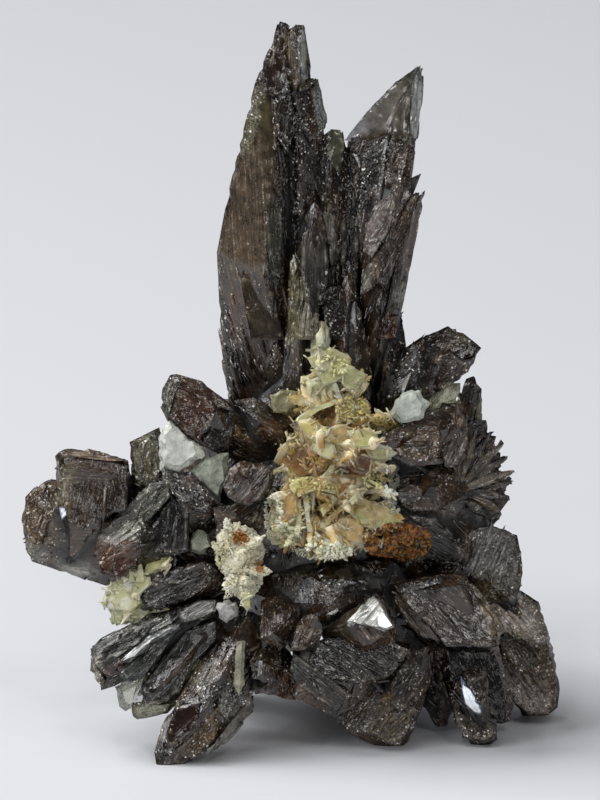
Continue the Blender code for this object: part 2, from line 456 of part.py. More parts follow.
def wedge_points(wedge):
    """Rim on a plane from tip to root, with its ridge raised towards the front and the back."""
    tip = Vector(wedge.rim[0])
    root = Vector(max(wedge.rim, key=lambda point: (Vector(point) - tip).length))
    run = root - tip

    def back(across, up):
        share = (Vector((across, up)) - tip).dot(run) / run.length_squared
        return wedge.tip + (wedge.root - wedge.tip) * share

    points = [seen(across, up, back(across, up)) for across, up in wedge.rim]
    for across, up, rise in wedge.ridge:
        level = back(across, up)
        points.append(seen(across, up, level - rise))
        points.append(seen(across, up, level + rise * wedge.behind))
    return points


def blade_points(root, tip, width, thickness, across_axis):
    """An axe-headed blade: straight sides, a rhomb in section, and a slanting chisel edge for a tip."""
    along = (tip - root).normalized()
    side = (across_axis - along * across_axis.dot(along)).normalized()
    face = along.cross(side)

    def corner(back, across, out):
        return tip - along * back * width + side * across * width + face * out * thickness

    points = [corner(0, 0.2, 0), corner(0.42, -0.46, 0), corner(0.3, 0.5, 0), corner(1.1, 0.5, 0),
              corner(1.2, -0.5, 0), corner(0.6, 0.12, 0.4), corner(0.85, -0.12, -0.4)]
    centre = root - tip
    for share, reach in ((0.55, 1.0), (1.0, 0.78)):
        for sign in (-1, 1):
            points.append(tip + centre * share + side * sign * 0.5 * width * reach)
            shelf = face * 0.5 * thickness + side * 0.14 * width
            points.append(tip + centre * share + shelf * sign * reach)
    return points


def needle_points(root, tip, radius):
    """A six-sided quartz needle with a pointed end."""
    along = (tip - root).normalized()
    side = along.orthogonal().normalized()
    face = along.cross(side)
    shoulder = tip - along * min(2.2 * radius, 0.5 * (tip - root).length)
    points = [tip]
    for step in range(6):
        angle = math.tau * step / 6
        spoke = (side * math.cos(angle) + face * math.sin(angle)) * radius
        points.append(root + spoke)
        points.append(shoulder + spoke * 0.9)
    return points


def lump_points(centre, radii, chance):
    """A rough rock lump: points of a coarse ball, each pushed in or out a little."""
    shape = bmesh.new()
    bmesh.ops.create_icosphere(shape, subdivisions=2, radius=1.0)
    points = []
    for vert in shape.verts:
        push = chance.uniform(*LUMP_PUSH)
        points.append(Vector(centre) + Vector([n * r * push for n, r in zip(vert.co, radii)]))
    shape.free()
    return points


def comb_points():
    """Saw teeth of every comb: thin parallelograms whose upper corners stand out past the edge."""
    teeth = []
    for top, side, first_back, last_back, tips in COMBS:
        for number, (across, up) in enumerate(tips):
            back = first_back + (last_back - first_back) * number / max(1, len(tips) - 1)
            tip = seen(across, up, back)
            shoulder = seen(across + top[0], up + top[1], back)
            heel = seen(across + side[0], up + side[1], back)
            foot = shoulder + heel - tip
            points = [tip, shoulder, heel, foot]
            middle = (shoulder + heel + foot) / 3
            rise = Vector((0, TOOTH_THICKNESS / 2, 0))
            teeth.append(points + [middle - rise, middle + rise, foot - rise, foot + rise])
    return teeth


def fan_points():
    """The fan's blades, which share one root."""
    root = seen(*FAN_ROOT)
    width, thickness = FAN_BLADE
    blades = []
    for tip in FAN_TIPS:
        blades.append(blade_points(root, seen(*tip), width, thickness, Vector((0, 0.5, 1))))
    return blades


def spear_points(chance):
    """The back's crystals, each with thinner sisters that grew side by side with it."""
    centre = Vector(CORE_CENTRE)
    spears = []
    for bearing, climb, length, width, thickness, turn in BACK_SPEARS:
        level = Vector((math.cos(math.radians(bearing)), math.sin(math.radians(bearing)), 0))
        along = level * math.cos(math.radians(climb)) + Vector((0, 0, math.sin(math.radians(climb))))
        flat = along.cross(Vector((0, 0, 1))).normalized()
        side = Matrix.Rotation(math.radians(turn), 3, along) @ flat
        tip = centre + along * length
        start = centre + along * SPEAR_START
        spears.append(blade_points(start, tip, width, thickness, side))
        for number in range(SISTERS_PER_SPEAR):
            hand = 1 if number % 2 else -1
            offset = side * hand * width * chance.uniform(*SISTER_OFFSET)
            offset += side.cross(along) * thickness * chance.uniform(-0.3, 0.3)
            end = centre + along * length * chance.uniform(*SISTER_LENGTH) + offset
            spears.append(blade_points(start + offset * 0.6, end, width * SISTER_WIDTH,
                                       thickness * 0.8, side))
    return spears


def object_of(name, mesh):
    """A new object in the scene that holds this mesh."""
    thing = bpy.data.objects.new(name, mesh)
    bpy.context.scene.collection.objects.link(thing)
    return thing


def boolean(thing, others, operation):
    """Joins or cuts a mesh with a whole collection of others, and keeps the result as its mesh."""
    group = bpy.data.collections.new("operands")
    bpy.context.scene.collection.children.link(group)
    for mesh in others:
        group.objects.link(bpy.data.objects.new("operand", mesh))
    modifier = thing.modifiers.new("boolean", "BOOLEAN")
    modifier.operation = operation
    modifier.solver = "EXACT"
    modifier.operand_type = "COLLECTION"
    modifier.collection = group
    bpy.context.view_layer.update()
    evaluated = thing.evaluated_get(bpy.context.evaluated_depsgraph_get())
    result = bpy.data.meshes.new_from_object(evaluated)
    thing.modifiers.remove(modifier)
    thing.data = result
    for operand in list(group.objects):
        bpy.data.objects.remove(operand, do_unlink=True)
    bpy.data.collections.remove(group)


def shells(shape):
    """The connected faces of a mesh, as lists, with the volume that each closes."""
    unseen = set(shape.faces)
    found = []
    while unseen:
        front = [unseen.pop()]
        shell = list(front)
        while front:
            face = front.pop()
            for edge in face.edges:
                for other in edge.link_faces:
                    if other in unseen:
                        unseen.remove(other)
                        front.append(other)
                        shell.append(other)
        volume = 0.0
        for face in shell:
            first = face.verts[0].co
            for one, two in zip(face.verts[1:-1], face.verts[2:]):
                volume += first.dot(one.co.cross(two.co)) / 6
        found.append((volume, shell))
    return found


def keep_one_body(thing):
    """Welds slivers and keeps the largest outer shell, which also fills sealed pockets.

    Any loose bit or pocket larger than a speck is printed, in cubic millimetres.
    """
    shape = bmesh.new()
    shape.from_mesh(thing.data)
    bmesh.ops.triangulate(shape, faces=shape.faces)
    bmesh.ops.remove_doubles(shape, verts=shape.verts, dist=WELD)
    bmesh.ops.dissolve_degenerate(shape, edges=shape.edges, dist=WELD)
    bmesh.ops.triangulate(shape, faces=shape.faces)
    found = sorted(shells(shape), key=lambda entry: entry[0])
    kept = set(found[-1][1])
    for volume, _ in found[:-1]:
        if abs(volume) > SPECK:
            print(thing.name, "loses" if volume > 0 else "fills", round(abs(volume), 2), "mm3")
    bmesh.ops.delete(shape, geom=[face for face in shape.faces if face not in kept], context="FACES")
    shape.to_mesh(thing.data)
    shape.free()


def fused(name, groups):
    """One closed solid from many overlapping hulls, each given by its points."""
    thing = object_of(name, hull(groups[0]))
    if len(groups) > 1:
        boolean(thing, [hull(points) for points in groups[1:]], "UNION")
    keep_one_body(thing)
    return thing


def stand_flat(thing):
    """Cuts the feet flat at the height where the specimen rests."""
    slab = bmesh.new()
    bmesh.ops.create_cube(slab, size=SLAB)
    bmesh.ops.translate(slab, vec=(0, 0, GROUND_TRIM - SLAB / 2), verts=slab.verts)
    mesh = bpy.data.meshes.new("slab")
    slab.to_mesh(mesh)
    slab.free()
    boolean(thing, [mesh], "DIFFERENCE")
    keep_one_body(thing)


def near(points, others, margin=1.0):
    """Whether two hulls' boxes come this close."""
    for axis in range(3):
        low = min(p[axis] for p in points) - margin
        high = max(p[axis] for p in points) + margin
        if max(p[axis] for p in others) < low or min(p[axis] for p in others) > high:
            return False
    return True


def clear_of(thing, others):
    """Cuts a mesh back to leave a gap of its own all round the other hulls."""
    corners = [vert.co.copy() for vert in thing.data.vertices]
    cutters = [hull(grown(points, GAP)) for points in others if near(points, corners)]
    if cutters:
        boolean(thing, cutters, "DIFFERENCE")
    keep_one_body(thing)


def spray(name, mounds, needles, spikes, chance, others):
    """A crust of quartz: low mounds, the large needles by hand and small ones by chance."""
    groups = []
    crowns = []
    for centre, radii in mounds:
        middle = seen(*centre)
        points = lump_points(middle, radii, chance)
        groups.append(points)
        crowns += [(point, middle) for point in points if point.y < middle.y - 0.2 * radii[1]]
    chance.shuffle(crowns)
    groups += [needle_points(seen(*root), seen(*tip), radius) for root, tip, radius in needles]
    for surface, middle in crowns[:spikes]:
        root = surface.lerp(middle, 0.35)
        lean = Vector([chance.uniform(-SMALL_NEEDLE_LEAN, SMALL_NEEDLE_LEAN) for _ in range(3)])
        away = (surface - middle).normalized() + lean
        tip = surface + away.normalized() * chance.uniform(*SMALL_NEEDLE_LENGTH)
        groups.append(needle_points(root, tip, chance.uniform(*SMALL_NEEDLE_RADIUS)))
    thing = fused(name, groups)
    clear_of(thing, others)
    return thing, groups


def block(name, front, rear, outline, others):
    """A pale crystal with an outline in the picture plane, its front narrower than its middle."""
    centre = sum((Vector(point) for point in outline), Vector((0, 0))) / len(outline)
    points = []
    for point in outline:
        inner = centre.lerp(Vector(point), BLOCK_END)
        points.append(seen(inner.x, inner.y, front))
        points.append(seen(*point, front + BLOCK_WIDEST * (rear - front)))
        points.append(seen(inner.x, inner.y, rear))
    thing = object_of(name, hull(points))
    clear_of(thing, others)
    return thing, [points]


def to_metres(things):
    """Centres the whole specimen over the origin, scales it to metres and rests it on z = 0."""
    places = [vert.co for thing in things for vert in thing.data.vertices]
    low = Vector([min(place[axis] for place in places) for axis in range(3)])
    high = Vector([max(place[axis] for place in places) for axis in range(3)])
    shift = Vector((-(low.x + high.x) / 2, -(low.y + high.y) / 2, -low.z))
    for thing in things:
        thing.data.transform(Matrix.Scale(MM, 4) @ Matrix.Translation(shift))
        thing.data.update()


def finish(thing, material):
    """Gives the whole of a piece one material."""
    thing.data.materials.clear()
    thing.data.materials.append(material)
    return thing


def build():
    """The axinite first, then the quartz that grew over it, each cut clear of what came before."""
    clear_scene()
    chance = random.Random(SEED)
    solid = [lump_points(centre, radii, chance) for centre, radii in CORE_LUMPS]
    for group in (TALL_BLADES, RIGHT_ARM, LOWER_RIGHT, LOWER_LEFT, LEFT_GROUP):
        solid += [wedge_points(wedge) for wedge in group]
    solid += fan_points() + comb_points() + spear_points(chance)
    cluster = fused("axinite_cluster", solid)
    stand_flat(cluster)
    things = [finish(cluster, principled("axinite", "4a3a33", 0.25))]

    quartz = principled("quartz", "e6d9b0", 0.3)
    for name, mounds, needles, spikes in SPRAYS:
        thing, groups = spray(name, mounds, needles, spikes, chance, solid)
        solid += groups
        things.append(finish(thing, quartz))

    pale = principled("pale_quartz", "cfd2c4", 0.35)
    for name, front, rear, outline in BLOCKS:
        thing, groups = block(name, front, rear, outline, solid)
        solid += groups
        things.append(finish(thing, pale))

    to_metres(things)
    for thing in things:
        print(thing.name, len(thing.data.polygons))


build()
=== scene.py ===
# %% [markdown]
# # An axinite specimen, step by step
#
# Axinite is a glassy brown silicate. It grows as flat wedges with edges sharp as an axe, which is where
# its name comes from. This specimen is a cluster of such wedges, with crusts of pale quartz needles in
# its hollows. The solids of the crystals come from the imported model. This script gives them their
# worn and stepped faces, grows the fine quartz, and lights the whole like a small studio.

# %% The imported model
import math

import bmesh
import bpy
import numpy as np
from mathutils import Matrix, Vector
from mathutils.bvhtree import BVHTree
from mathutils.geometry import tessellate_polygon


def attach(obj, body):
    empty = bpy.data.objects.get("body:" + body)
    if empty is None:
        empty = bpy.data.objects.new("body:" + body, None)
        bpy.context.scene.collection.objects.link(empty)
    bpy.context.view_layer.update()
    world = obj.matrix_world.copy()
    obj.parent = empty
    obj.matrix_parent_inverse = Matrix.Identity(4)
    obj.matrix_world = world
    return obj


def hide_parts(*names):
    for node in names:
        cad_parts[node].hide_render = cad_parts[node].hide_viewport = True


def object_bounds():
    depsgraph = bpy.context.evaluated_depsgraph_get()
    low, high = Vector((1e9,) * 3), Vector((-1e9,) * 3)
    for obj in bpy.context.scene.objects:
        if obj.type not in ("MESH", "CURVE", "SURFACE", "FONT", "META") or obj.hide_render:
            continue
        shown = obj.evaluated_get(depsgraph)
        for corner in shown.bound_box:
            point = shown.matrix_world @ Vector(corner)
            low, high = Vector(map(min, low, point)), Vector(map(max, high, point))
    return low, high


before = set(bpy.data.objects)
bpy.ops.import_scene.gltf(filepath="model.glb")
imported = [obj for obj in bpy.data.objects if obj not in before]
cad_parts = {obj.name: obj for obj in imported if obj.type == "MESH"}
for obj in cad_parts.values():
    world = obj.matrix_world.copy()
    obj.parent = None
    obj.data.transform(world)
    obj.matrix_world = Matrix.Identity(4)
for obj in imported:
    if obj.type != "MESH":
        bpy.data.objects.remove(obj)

cad_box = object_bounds()
MM = 0.001
print("packed nodes:", ", ".join(sorted(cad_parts)))

# %% [markdown]
# ## Where things are in the picture
#
# The specimen is drawn as the camera sees it, from 15 degrees above the front. A place is given in
# millimetres across and up in that tilted plane, and by how far back it lies. One function turns that
# into the model's own metres, so that a stain or a lamp can be placed by what is seen in the picture.

# %% Picture plane
VIEW_RISE = math.radians(15.0)
DRAWING_SHIFT = np.array([-0.15, -6.015, -0.35])
TALL_TIP = (-1.0, 71.2, 8.0)


def placed(across, up, back):
    """x is across, y is back and z is up / cos(rise) - back * tan(rise), all shifted to the model."""
    across, up, back = np.broadcast_arrays(across, up, back)
    height = up / math.cos(VIEW_RISE) - back * math.tan(VIEW_RISE)
    return (np.stack([across, back, height], axis=-1) + DRAWING_SHIFT) * MM


def drawn(places):
    """The reverse of placed(): millimetres across and up in the picture plane, for points in metres."""
    at = np.asarray(places) / MM - DRAWING_SHIFT
    up = (at[..., 2] + at[..., 1] * math.tan(VIEW_RISE)) * math.cos(VIEW_RISE)
    return at[..., 0], up


towards_camera = np.array([0.0, -math.cos(VIEW_RISE), math.sin(VIEW_RISE)])
print("top of the tall blade, in metres:", placed(*TALL_TIP).round(4))

# %% [markdown]
# ## Camera, floor and light
#
# A long lens from far away keeps the crystals' edges parallel, as in a picture taken for a catalogue.
# The floor is one pale sheet that fills the view. The main light is a large soft panel overhead, a
# little to the left. A smaller one stands in front on the left and a dim one on the right. A ring of
# small bright lamps goes with them: glassy faces only glitter when something small and bright is there
# for them to mirror.

# %% Camera
FRAME_CENTRE = (1.0, 33.5, 6.0)
FRAME_HEIGHT_MM = 80.0
CAMERA_DISTANCE = 1.6
SENSOR_MM = 36.0
CLIP = (0.05, 20.0)

camera_data = bpy.data.cameras.new("studio_camera")
camera_data.sensor_fit = "VERTICAL"
camera_data.sensor_height = SENSOR_MM
camera_data.lens = CAMERA_DISTANCE / (FRAME_HEIGHT_MM * MM) * SENSOR_MM
camera_data.clip_start, camera_data.clip_end = CLIP
camera = bpy.data.objects.new("studio_camera", camera_data)
bpy.context.scene.collection.objects.link(camera)
frame_centre = placed(*FRAME_CENTRE)
camera.location = Vector(frame_centre + towards_camera * CAMERA_DISTANCE)
camera.rotation_euler = Vector(-towards_camera).to_track_quat("-Z", "Y").to_euler()
bpy.context.scene.camera = camera
print("lens", round(camera_data.lens), "mm at", CAMERA_DISTANCE, "m")

# %% [markdown]
# ## Colours and nodes
#
# A colour is written as the six digits that a picture program shows. Blender reckons in linear light,
# so one helper changes it. A material is a web of nodes, which could be wired by hand in the editor. The
# short functions below do the wiring instead. Each adds one kind of node and gives back its output, so
# that a finish reads like a sum.

# %% Colours and nodes
def rgb(code):
    """sRGB hex digits as linear light: c / 12.92, or ((c + 0.055) / 1.055)^2.4 where c is above 0.04045."""
    channels = np.array([int(code[i:i + 2], 16) / 255 for i in (0, 2, 4)])
    return np.where(channels <= 0.04045, channels / 12.92, ((channels + 0.055) / 1.055) ** 2.4)


def linear(code):
    """The same colour with an alpha of 1, as a node takes it."""
    return (*rgb(code).tolist(), 1.0)


def node(tree, kind, inputs=None, **settings):
    """Adds one node. Settings are its own options, and inputs are constants or other nodes' outputs."""
    made = tree.nodes.new(kind)
    for name, value in settings.items():
        setattr(made, name, value)
    for key, value in (inputs or {}).items():
        if isinstance(value, bpy.types.NodeSocket):
            tree.links.new(value, made.inputs[key])
        else:
            made.inputs[key].default_value = value
    return made


def new_material(name):
    """An empty node material, and the output that its surface and volume go into."""
    material = bpy.data.materials.new(name)
    material.use_nodes = True
    material.node_tree.nodes.clear()
    return material, material.node_tree, material.node_tree.nodes.new("ShaderNodeOutputMaterial")


def glossy(output, inputs):
    """Gives a material a surface that mirrors and spreads light. The inputs are the shader's own."""
    shader = node(output.id_data, "ShaderNodeBsdfPrincipled", inputs)
    output.id_data.links.new(shader.outputs[0], output.inputs["Surface"])


def read(tree, name, kind="Fac"):
    """The value of a painted attribute, or its colour with Color as the kind."""
    return node(tree, "ShaderNodeAttribute", attribute_name=name).outputs[kind]


def cloudy(place, size, detail, roughness=0.5):
    """Smooth noise about 0.5, in lumps of a size in the units of the place."""
    inputs = {"Vector": place, "Scale": 1 / size, "Detail": detail, "Roughness": roughness}
    return node(place.id_data, "ShaderNodeTexNoise", inputs).outputs["Fac"]


def ramp(value, low, high, to_low, to_high):
    """A straight line from (low, to_low) to (high, to_high), held level outside."""
    inputs = {"Value": value, "From Min": low, "From Max": high, "To Min": to_low, "To Max": to_high}
    return node(value.id_data, "ShaderNodeMapRange", inputs).outputs[0]


def reckoned(operation, first, second):
    """Two values multiplied, added or compared. The second is another node's output."""
    return node(second.id_data, "ShaderNodeMath", {0: first, 1: second}, operation=operation).outputs[0]


def times(first, second):
    """The product of two values."""
    return reckoned("MULTIPLY", first, second)


def scaled(vector, factor):
    """A vector or a colour times a value."""
    inputs = {0: vector, "Scale": factor}
    return node(vector.id_data, "ShaderNodeVectorMath", inputs, operation="SCALE").outputs[0]


def mixed(factor, first, second):
    """Blends from one colour to another."""
    inputs = {0: factor, 6: first, 7: second}
    return node(factor.id_data, "ShaderNodeMix", inputs, data_type="RGBA").outputs[2]


def bumped(height, distance, strength, normal=None):
    """The normal of a surface that a height from 0 to 1 lifts by a distance in metres."""
    inputs = {"Height": height, "Distance": distance, "Strength": strength}
    if normal is not None:
        inputs["Normal"] = normal
    return node(height.id_data, "ShaderNodeBump", inputs).outputs[0]


# %% [markdown]
# ## The floor
#
# The backdrop of such pictures is a sheet of pale card that takes soft shadows. It could be curved up
# behind the specimen, but from this height one large flat square fills the view just as well. Its finish
# is rough and mirrors almost nothing.

# %% Floor
FLOOR_HALF = 3.0
CARD_COLOUR = "d6d7da"
CARD_ROUGHNESS = 0.9
CARD_MIRROR = 0.2

floor_mesh = bpy.data.meshes.new("studio_floor")
corners = [(-FLOOR_HALF, -FLOOR_HALF, 0), (FLOOR_HALF, -FLOOR_HALF, 0),
           (FLOOR_HALF, FLOOR_HALF, 0), (-FLOOR_HALF, FLOOR_HALF, 0)]
floor_mesh.from_pydata(corners, [], [(0, 1, 2, 3)])
floor = bpy.data.objects.new("studio_floor", floor_mesh)
bpy.context.scene.collection.objects.link(floor)

# Matt laminated card, which spreads the light evenly and mirrors almost nothing.
card, tree, output = new_material("matt_white_card")
glossy(output, {"Base Color": linear(CARD_COLOUR), "Roughness": CARD_ROUGHNESS,
                "Specular IOR Level": CARD_MIRROR})
floor_mesh.materials.append(card)

# %% [markdown]
# ## The lights
#
# A lamp could be a single point, but then every shadow would have a hard edge. A panel has a width, so
# its shadows are soft, and a flat crystal face mirrors it as a bright patch. The room's own light is weak
# and only keeps the shadows from going black.

# %% Lights
ROOM_COLOUR = "e6eaf2"
ROOM_STRENGTH = 0.11
# Each panel: its name, where it stands in metres, how wide it is, its power in watts and its colour
PANELS = (
    ("overhead_panel", (-0.5, 0.1, 0.8), 0.6, 7.9, "ffffff"),
    ("left_panel", (-0.8, -0.55, 0.55), 0.4, 3.4, "fbfcff"),
    ("right_panel", (0.7, -0.7, 0.5), 0.25, 0.4, "fff8ee"),
)
# Small bright lamps for the glitter: bearing from the front and height in degrees
GLINT_LAMPS = ((-62, 40), (-28, 58), (-8, 24), (24, 50), (52, 30), (80, 56), (-100, 48), (150, 45),
               (200, 35), (-42, 14), (8, 66), (-14, 42))
GLINT_DISTANCE = 0.7
GLINT_WIDTH = 0.055
GLINT_POWER = 0.1

world = bpy.data.worlds.new("studio_room")
world.use_nodes = True
world.node_tree.nodes["Background"].inputs["Color"].default_value = linear(ROOM_COLOUR)
world.node_tree.nodes["Background"].inputs["Strength"].default_value = ROOM_STRENGTH
bpy.context.scene.world = world
bpy.context.scene.view_settings.view_transform = "Standard"


def panel(name, place, width, power, colour, target):
    """A square area light at a place, which faces a target."""
    data = bpy.data.lights.new(name, "AREA")
    data.size = width
    data.energy = power
    data.color = linear(colour)[:3]
    light = bpy.data.objects.new(name, data)
    bpy.context.scene.collection.objects.link(light)
    light.location = Vector(place)
    light.rotation_euler = (Vector(target) - light.location).to_track_quat("-Z", "Y").to_euler()


middle = (cad_box[0] + cad_box[1]) / 2
for name, place, width, power, colour in PANELS:
    panel(name, place, width, power, colour, middle)
for number, (bearing, height) in enumerate(GLINT_LAMPS):
    turn, rise = math.radians(bearing), math.radians(height)
    way = np.array([math.sin(turn) * math.cos(rise), -math.cos(turn) * math.cos(rise), math.sin(rise)])
    panel("glint_lamp_%d" % number, way * GLINT_DISTANCE, GLINT_WIDTH, GLINT_POWER, "ffffff", middle)
print("lights:", len(PANELS) + len(GLINT_LAMPS))

# %% [markdown]
# ## Noise and triangles as arrays
#
# Natural faces are never the same twice, so much here comes from noise: random values on a lattice,
# blended between its corners. It is worked out for all points at once. The crystals' solids have large
# triangles, and a face can only get steps and chips once it has many small ones, so a second helper
# halves every long edge until none is left.

# %% Noise
AXIS_PRIMES = np.array([73856093, 19349663, 83492791])
SEED_PRIME = 2654435761
ALL_BITS = 0xFFFFFFFF
HALF_BITS = 16
STIR = 0x45D9F3B


def lattice_values(cells, seed):
    """A random value from 0 to 1 for each cell: its whole numbers times primes, stirred bit by bit."""
    bits = (cells.astype(np.int64) * AXIS_PRIMES).sum(axis=-1)
    bits = (bits + seed * SEED_PRIME) & ALL_BITS
    for factor in (STIR, STIR, 1):
        bits = ((bits ^ (bits >> HALF_BITS)) * factor) & ALL_BITS
    return bits / ALL_BITS


def noise(places, cell, seed):
    """Value noise from 0 to 1: a cell's eight corners, weighted by s * s * (3 - 2 s) along each axis."""
    at = places / np.asarray(cell)
    low = np.floor(at)
    share = at - low
    share = share * share * (3 - 2 * share)
    total = np.zeros(len(places))
    for corner in np.ndindex(2, 2, 2):
        weight = np.prod(np.where(corner, share, 1 - share), axis=-1)
        total += weight * lattice_values(low + corner, seed)
    return total


def layered(places, cells, seed, level=0.5):
    """The sum over some cell sizes of (noise - level) times the depth that goes with the size."""
    return sum((noise(places, cell, seed + k) - level) * depth for k, (cell, depth) in enumerate(cells))


def smoothstep(values, low, high):
    """0 below low, 1 above high, and s * s * (3 - 2 s) between."""
    share = np.clip((values - low) / (high - low), 0, 1)
    return share * share * (3 - 2 * share)


# %% Triangles
TINY = 1e-12
MERGE_DISTANCE = 1e-7


def unit(vectors):
    """Vectors scaled to a length of 1."""
    return vectors / np.maximum(np.linalg.norm(vectors, axis=-1, keepdims=True), TINY)


def face_normals(points, faces):
    """The cross product of two sides of each triangle, to a length of 1."""
    a, b, c = (points[faces[:, k]] for k in range(3))
    return unit(np.cross(b - a, c - a))


def point_normals(points, faces):
    """The sum of the cross products of the triangles round each point, to a length of 1."""
    a, b, c = (points[faces[:, k]] for k in range(3))
    area = np.cross(b - a, c - a)
    total = np.zeros_like(points)
    for k in range(3):
        np.add.at(total, faces[:, k], area)
    return unit(total)


def node_triangles(name):
    """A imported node's points and triangles, with the points that share a place merged."""
    shape = bmesh.new()
    shape.from_mesh(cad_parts[name].data)
    bmesh.ops.remove_doubles(shape, verts=shape.verts, dist=MERGE_DISTANCE)
    bmesh.ops.triangulate(shape, faces=shape.faces)
    mesh = bpy.data.meshes.new("merged")
    shape.to_mesh(mesh)
    shape.free()
    points = np.empty(len(mesh.vertices) * 3)
    mesh.vertices.foreach_get("co", points)
    faces = np.empty(len(mesh.polygons) * 3, dtype=np.int32)
    mesh.polygons.foreach_get("vertices", faces)
    bpy.data.meshes.remove(mesh)
    return points.reshape(-1, 3), faces.reshape(-1, 3).astype(np.int64)


def halved(points, faces, owner, longest):
    """Splits each edge longer than longest(its middle) at its middle, until none is left.

    A triangle with one split edge becomes two, with two becomes three and with three becomes four. Each
    new triangle keeps the owner number of the one that it came from.
    """
    while True:
        ends = np.sort(np.stack([faces, np.roll(faces, -1, axis=1)], axis=2).reshape(-1, 2), axis=1)
        edges, back = np.unique(ends, axis=0, return_inverse=True)
        middles = (points[edges[:, 0]] + points[edges[:, 1]]) / 2
        lengths = np.linalg.norm(points[edges[:, 0]] - points[edges[:, 1]], axis=1)
        split = lengths > longest(middles)
        if not split.any():
            return points, faces, owner
        number = np.full(len(edges), -1)
        number[split] = len(points) + np.arange(split.sum())
        points = np.vstack([points, middles[split]])
        mids = number[back.reshape(-1)].reshape(-1, 3)
        count = (mids >= 0).sum(axis=1)
        turn = np.where(count == 1, (mids >= 0).argmax(axis=1), (mids < 0).argmax(axis=1) + 1) % 3
        order = (turn[:, None] + np.arange(3)) % 3
        corner = np.take_along_axis(faces, order, axis=1)
        mids = np.take_along_axis(mids, order, axis=1)
        a, b, c = corner.T
        m, n, o = mids.T
        pieces = []
        for rows, shapes in ((count == 0, ((a, b, c),)),
                             (count == 1, ((a, m, c), (m, b, c))),
                             (count == 2, ((m, b, n), (a, m, n), (a, n, c))),
                             (count == 3, ((a, m, o), (m, b, n), (o, n, c), (m, n, o)))):
            for shape in shapes:
                pieces.append((np.stack([column[rows] for column in shape], axis=1), owner[rows]))
        faces = np.vstack([piece for piece, _ in pieces])
        owner = np.concatenate([owners for _, owners in pieces])


def piece_from(name, points, faces, sharp_angle=None):
    """A new mesh object at the origin, from arrays of points and triangles."""
    mesh = bpy.data.meshes.new(name)
    mesh.vertices.add(len(points))
    mesh.vertices.foreach_set("co", np.ascontiguousarray(points, dtype=np.float32).ravel())
    mesh.loops.add(len(faces) * 3)
    mesh.loops.foreach_set("vertex_index", np.ascontiguousarray(faces, dtype=np.int32).ravel())
    mesh.polygons.add(len(faces))
    mesh.polygons.foreach_set("loop_start", np.arange(0, len(faces) * 3, 3, dtype=np.int32))
    mesh.update(calc_edges=True)
    if sharp_angle is not None:
        mesh.shade_smooth()
        mesh.set_sharp_from_angle(angle=math.radians(sharp_angle))
    made = bpy.data.objects.new(name, mesh)
    bpy.context.scene.collection.objects.link(made)
    print(name, len(points), "points,", len(faces), "triangles")
    return made


def joined(shapes):
    """Several pairs of points and triangles as one, with the number of the shape for each triangle."""
    first = np.cumsum([0] + [len(points) for points, _ in shapes[:-1]])
    return (np.vstack([points for points, _ in shapes]),
            np.vstack([faces + low for low, (_, faces) in zip(first, shapes)]),
            np.repeat(np.arange(len(shapes)), [len(faces) for _, faces in shapes]))


def ray_tree(points, faces):
    """The triangles as a tree that finds where a ray meets them."""
    return BVHTree.FromPolygons(points.tolist(), faces.tolist())


def paint(piece, name, values):
    """Stores a value, or three for a colour, for each point of a piece. The material reads them by name."""
    values = np.ascontiguousarray(values, dtype=np.float32)
    flat = values.ndim == 1
    attribute = piece.data.attributes.new(name, "FLOAT" if flat else "FLOAT_VECTOR", "POINT")
    attribute.data.foreach_set("value" if flat else "vector", values.ravel())


# %% [markdown]
# ## Blades that are drawn
#
# The imported cluster has the main crystals. What makes a real specimen look grown is the next size down:
# each crystal is a bundle of blades and faces that stand a little proud of each other. They are drawn
# here as outlines in the picture plane. Each is laid on the cluster where a ray from the camera meets it,
# turned by its own angles, and given a bevel and a thickness that sinks into the crystal behind it.

# %% Blades
SIDE = np.array([1.0, 0.0, 0.0])
RISE = np.array([0.0, math.sin(VIEW_RISE), math.cos(VIEW_RISE)])
BLADE_THICKNESS = 2.4
BEVEL = 0.22
BEVEL_DEPTH = 0.16
PROUD_SHARE = 0.55
BACK_SCALE = 0.8
SAMPLE_SCALE = 0.8
LEVEL_PERCENT = 70
RAY_START = 60.0
FACES_CAMERA = 0.5

